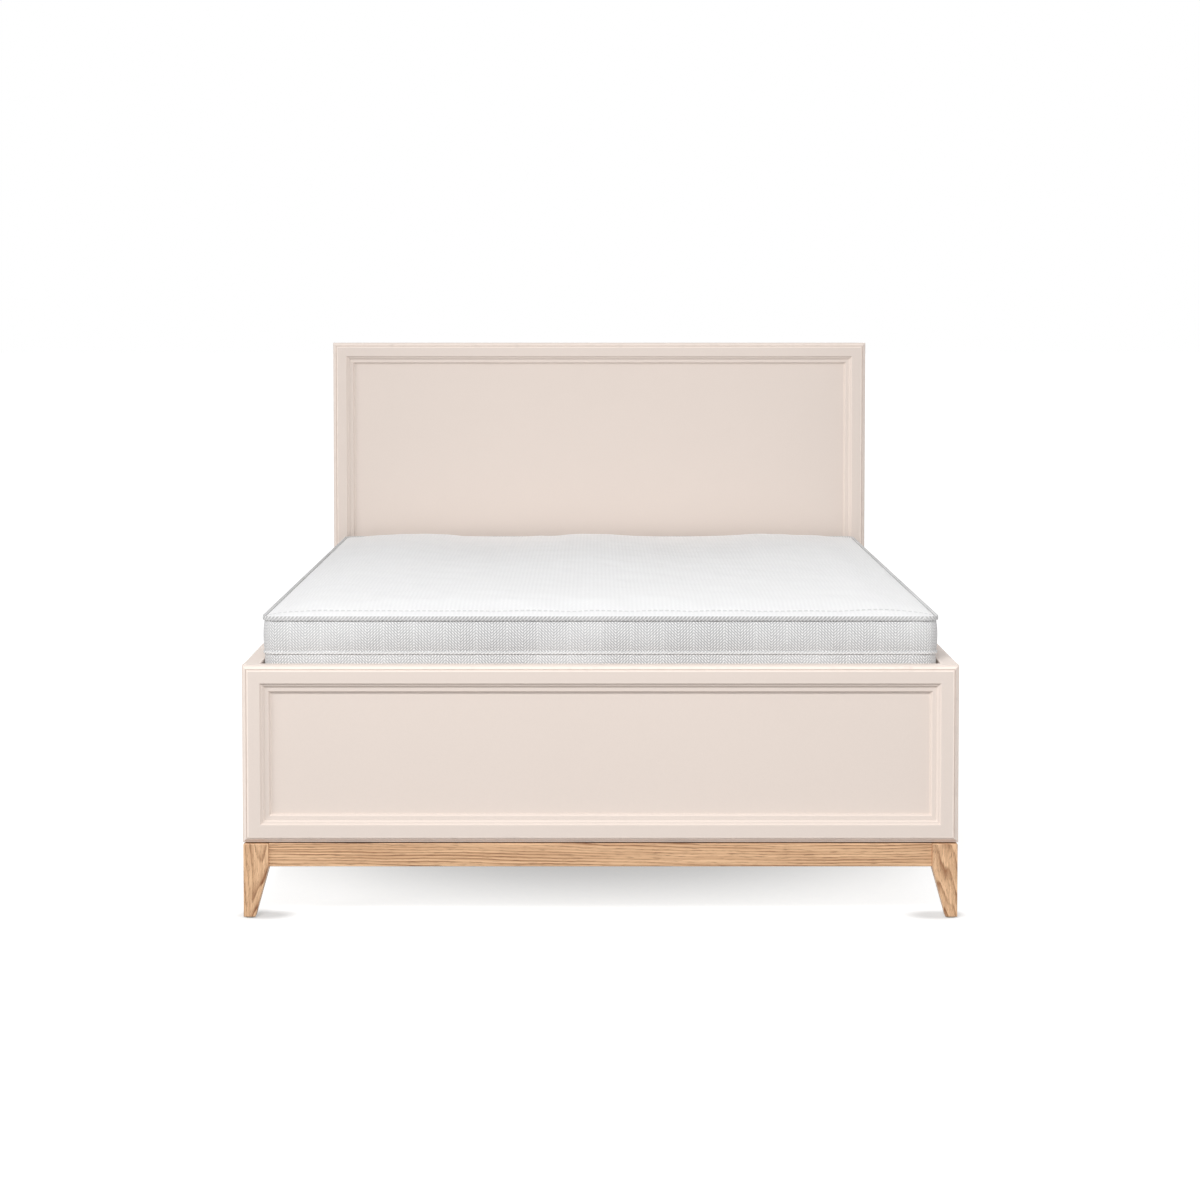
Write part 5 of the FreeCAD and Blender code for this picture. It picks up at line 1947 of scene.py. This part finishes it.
@dataclass
class Studio:
    """A pale floor, a soft key light, an even surround and the camera at the photograph's angle."""

    lamps: tuple[tuple[str, Triple, float, float], ...] = (
        ("left", (-0.82, -0.46, 0.34), 0.92, 20.0), ("back", (0.15, 0.94, 0.2), 1.0, 50.0),
        ("right", (0.95, -0.12, 0.18), 0.75, 40.0))
    softbox_side: Triple = (-0.12, -0.72, 0.68)
    softbox_aim: Triple = (0.0, -1.05, 0.4)
    softbox_distance: float = 5.8
    softbox_width: float = 1.6
    softbox_strength: float = 1.88
    surround: float = 0.34
    floor_colour: float = 0.47
    floor_glow: float = 0.48
    # How much lower the glow is near the middle, a painted shadow under the bed, and the distances over
    # which it lightens
    floor_rise: float = 0.37
    glow_reach: Pair = (0.42, 1.05)
    floor_half: float = 60.0
    lamp_distance: float = 6.0
    # A painted contact shadow about each foot: its depth, its fade, its place and its size
    foot_shade: float = 0.46
    foot_reach: Pair = (0.25, 1.0)
    foot_place: Triple = (0.695, 1.02, 0.0)
    foot_spread: Triple = (0.095, 0.07, 1.0)
    camera_place: Triple = (-0.0099, -6.8545, 1.2737)
    camera_down: float = 3.0
    camera_sensor: float = 36.0
    camera_reach: float = 200.0
    camera_lens: float = 85.323
    camera_shift: Pair = (0.0036, -0.12617)

    def seen(self, tree: Tree) -> Socket:
        """Give 1 for what the camera, a mirror or glass sees, and 0 for light.

        Args:
            tree: the tree that asks.

        Returns:
            The value.
        """
        path = tree.node("ShaderNodeLightPath", {}).outputs
        mirrors = tree.math("MAXIMUM", path["Is Glossy Ray"], path["Is Transmission Ray"])
        return tree.math("MAXIMUM", path["Is Camera Ray"], mirrors)

    def build_surround(self) -> None:
        """Light the room evenly, white where it is seen."""
        world = bpy.data.worlds.new("surround")
        bpy.context.scene.world = world
        tree = emptied(world)
        strength = tree.math("MULTIPLY_ADD", self.seen(tree), 1.0 - self.surround, self.surround)
        light = tree.node("ShaderNodeBackground", {"Color": (1.0, 1.0, 1.0, 1.0), "Strength": strength})
        tree.node("ShaderNodeOutputWorld", {"Surface": light.outputs[0]})

    def build_floor(self) -> None:
        """Lay the floor: a pale matt plane, open from below, that glows only where it is seen.

        The glow rises with the distance from the middle, so that a painted shadow lies under the bed, and it
        falls within an ellipse about each foot, a painted contact shadow.
        """
        corners = np.array([(-1, -1, 0), (1, -1, 0), (1, 1, 0), (-1, 1, 0)]) * self.floor_half
        mesh = bpy.data.meshes.new("studio_floor")
        mesh.from_pydata(corners.tolist(), [], [(0, 1, 2, 3)])
        floor = linked("studio_floor", mesh)
        material = bpy.data.materials.new("studio_floor")
        tree = emptied(material)
        grey = (self.floor_colour, self.floor_colour, self.floor_colour, 1.0)
        matt = tree.node("ShaderNodeBsdfDiffuse", {"Color": grey}).outputs[0]
        place = tree.place()
        # The glow is lower near the middle: a painted shadow under the bed
        away = tree.vector("LENGTH", place)
        glow_and_painted_shadow = tree.rise(away, *self.glow_reach, self.floor_glow, self.floor_glow + self.floor_rise)
        # Less glow within an ellipse about each foot: a painted contact shadow
        foot = tree.vector("SUBTRACT", tree.vector("ABSOLUTE", place), self.foot_place)
        foot = tree.vector("LENGTH", tree.vector("DIVIDE", foot, self.foot_spread))
        glow_and_painted_shadow = tree.math("SUBTRACT", glow_and_painted_shadow, tree.rise(foot, *self.foot_reach, self.foot_shade, 0.0))
        strength = tree.math("MULTIPLY", self.seen(tree), glow_and_painted_shadow)
        glow_and_painted_shadow = tree.node("ShaderNodeEmission", {"Strength": strength}).outputs[0]
        both = tree.node("ShaderNodeAddShader", {0: matt, 1: glow_and_painted_shadow}).outputs[0]
        clear = tree.node("ShaderNodeBsdfTransparent", {}).outputs[0]
        back = tree.node("ShaderNodeNewGeometry", {}).outputs["Backfacing"]
        whole = tree.node("ShaderNodeMixShader", {0: back, 1: both, 2: clear}).outputs[0]
        tree.node("ShaderNodeOutputMaterial", {"Surface": whole})
        mesh.materials.append(material)

    def build_lamps(self) -> None:
        """Hang the broad lamps and the softbox, which lights the foot end more than the head end."""
        for name, side, strength, spread in self.lamps:
            data = bpy.data.lights.new(name, "SUN")
            data.energy = strength
            data.angle = math.radians(spread)
            lamp = linked(name, data)
            lamp.rotation_euler = Vector(side).to_track_quat("Z", "Y").to_euler()
            lamp.location = Vector(side) * self.lamp_distance
        data = bpy.data.lights.new("softbox", "AREA")
        data.size = self.softbox_width
        data.energy = math.pi * self.softbox_strength * self.softbox_distance ** 2
        softbox = linked("softbox", data)
        side = Vector(self.softbox_side).normalized()
        softbox.rotation_euler = side.to_track_quat("Z", "Y").to_euler()
        softbox.location = Vector(self.softbox_aim) + side * self.softbox_distance

    def build_camera(self) -> None:
        """Stand the camera at the photograph's place."""
        data = bpy.data.cameras.new("camera")
        data.sensor_width = self.camera_sensor
        data.lens = self.camera_lens
        data.shift_x, data.shift_y = self.camera_shift
        data.clip_end = self.camera_reach
        camera = linked("camera", data)
        camera.location = self.camera_place
        camera.rotation_euler = (math.radians(90 - self.camera_down), 0.0, 0.0)
        bpy.context.scene.camera = camera

    def build(self) -> None:
        """Set the stage."""
        bpy.context.scene.view_settings.view_transform = "Standard"
        self.build_surround()
        self.build_floor()
        self.build_lamps()
        self.build_camera()


def main() -> None:
    """Build the bed and its stage in order."""
    logging.basicConfig(level=logging.INFO, format="%(message)s")
    shop = Workshop(Bed(frame["record"]["behaviour"]["bodies"]), Finishes())
    Board("headboard").build(shop)
    Board("footboard").build(shop)
    Carcass().build(shop)
    Lift().build(shop)
    Platform().build(shop)
    Mattress().build(shop)
    Studio().build()


if __name__ == "__main__":
    main()
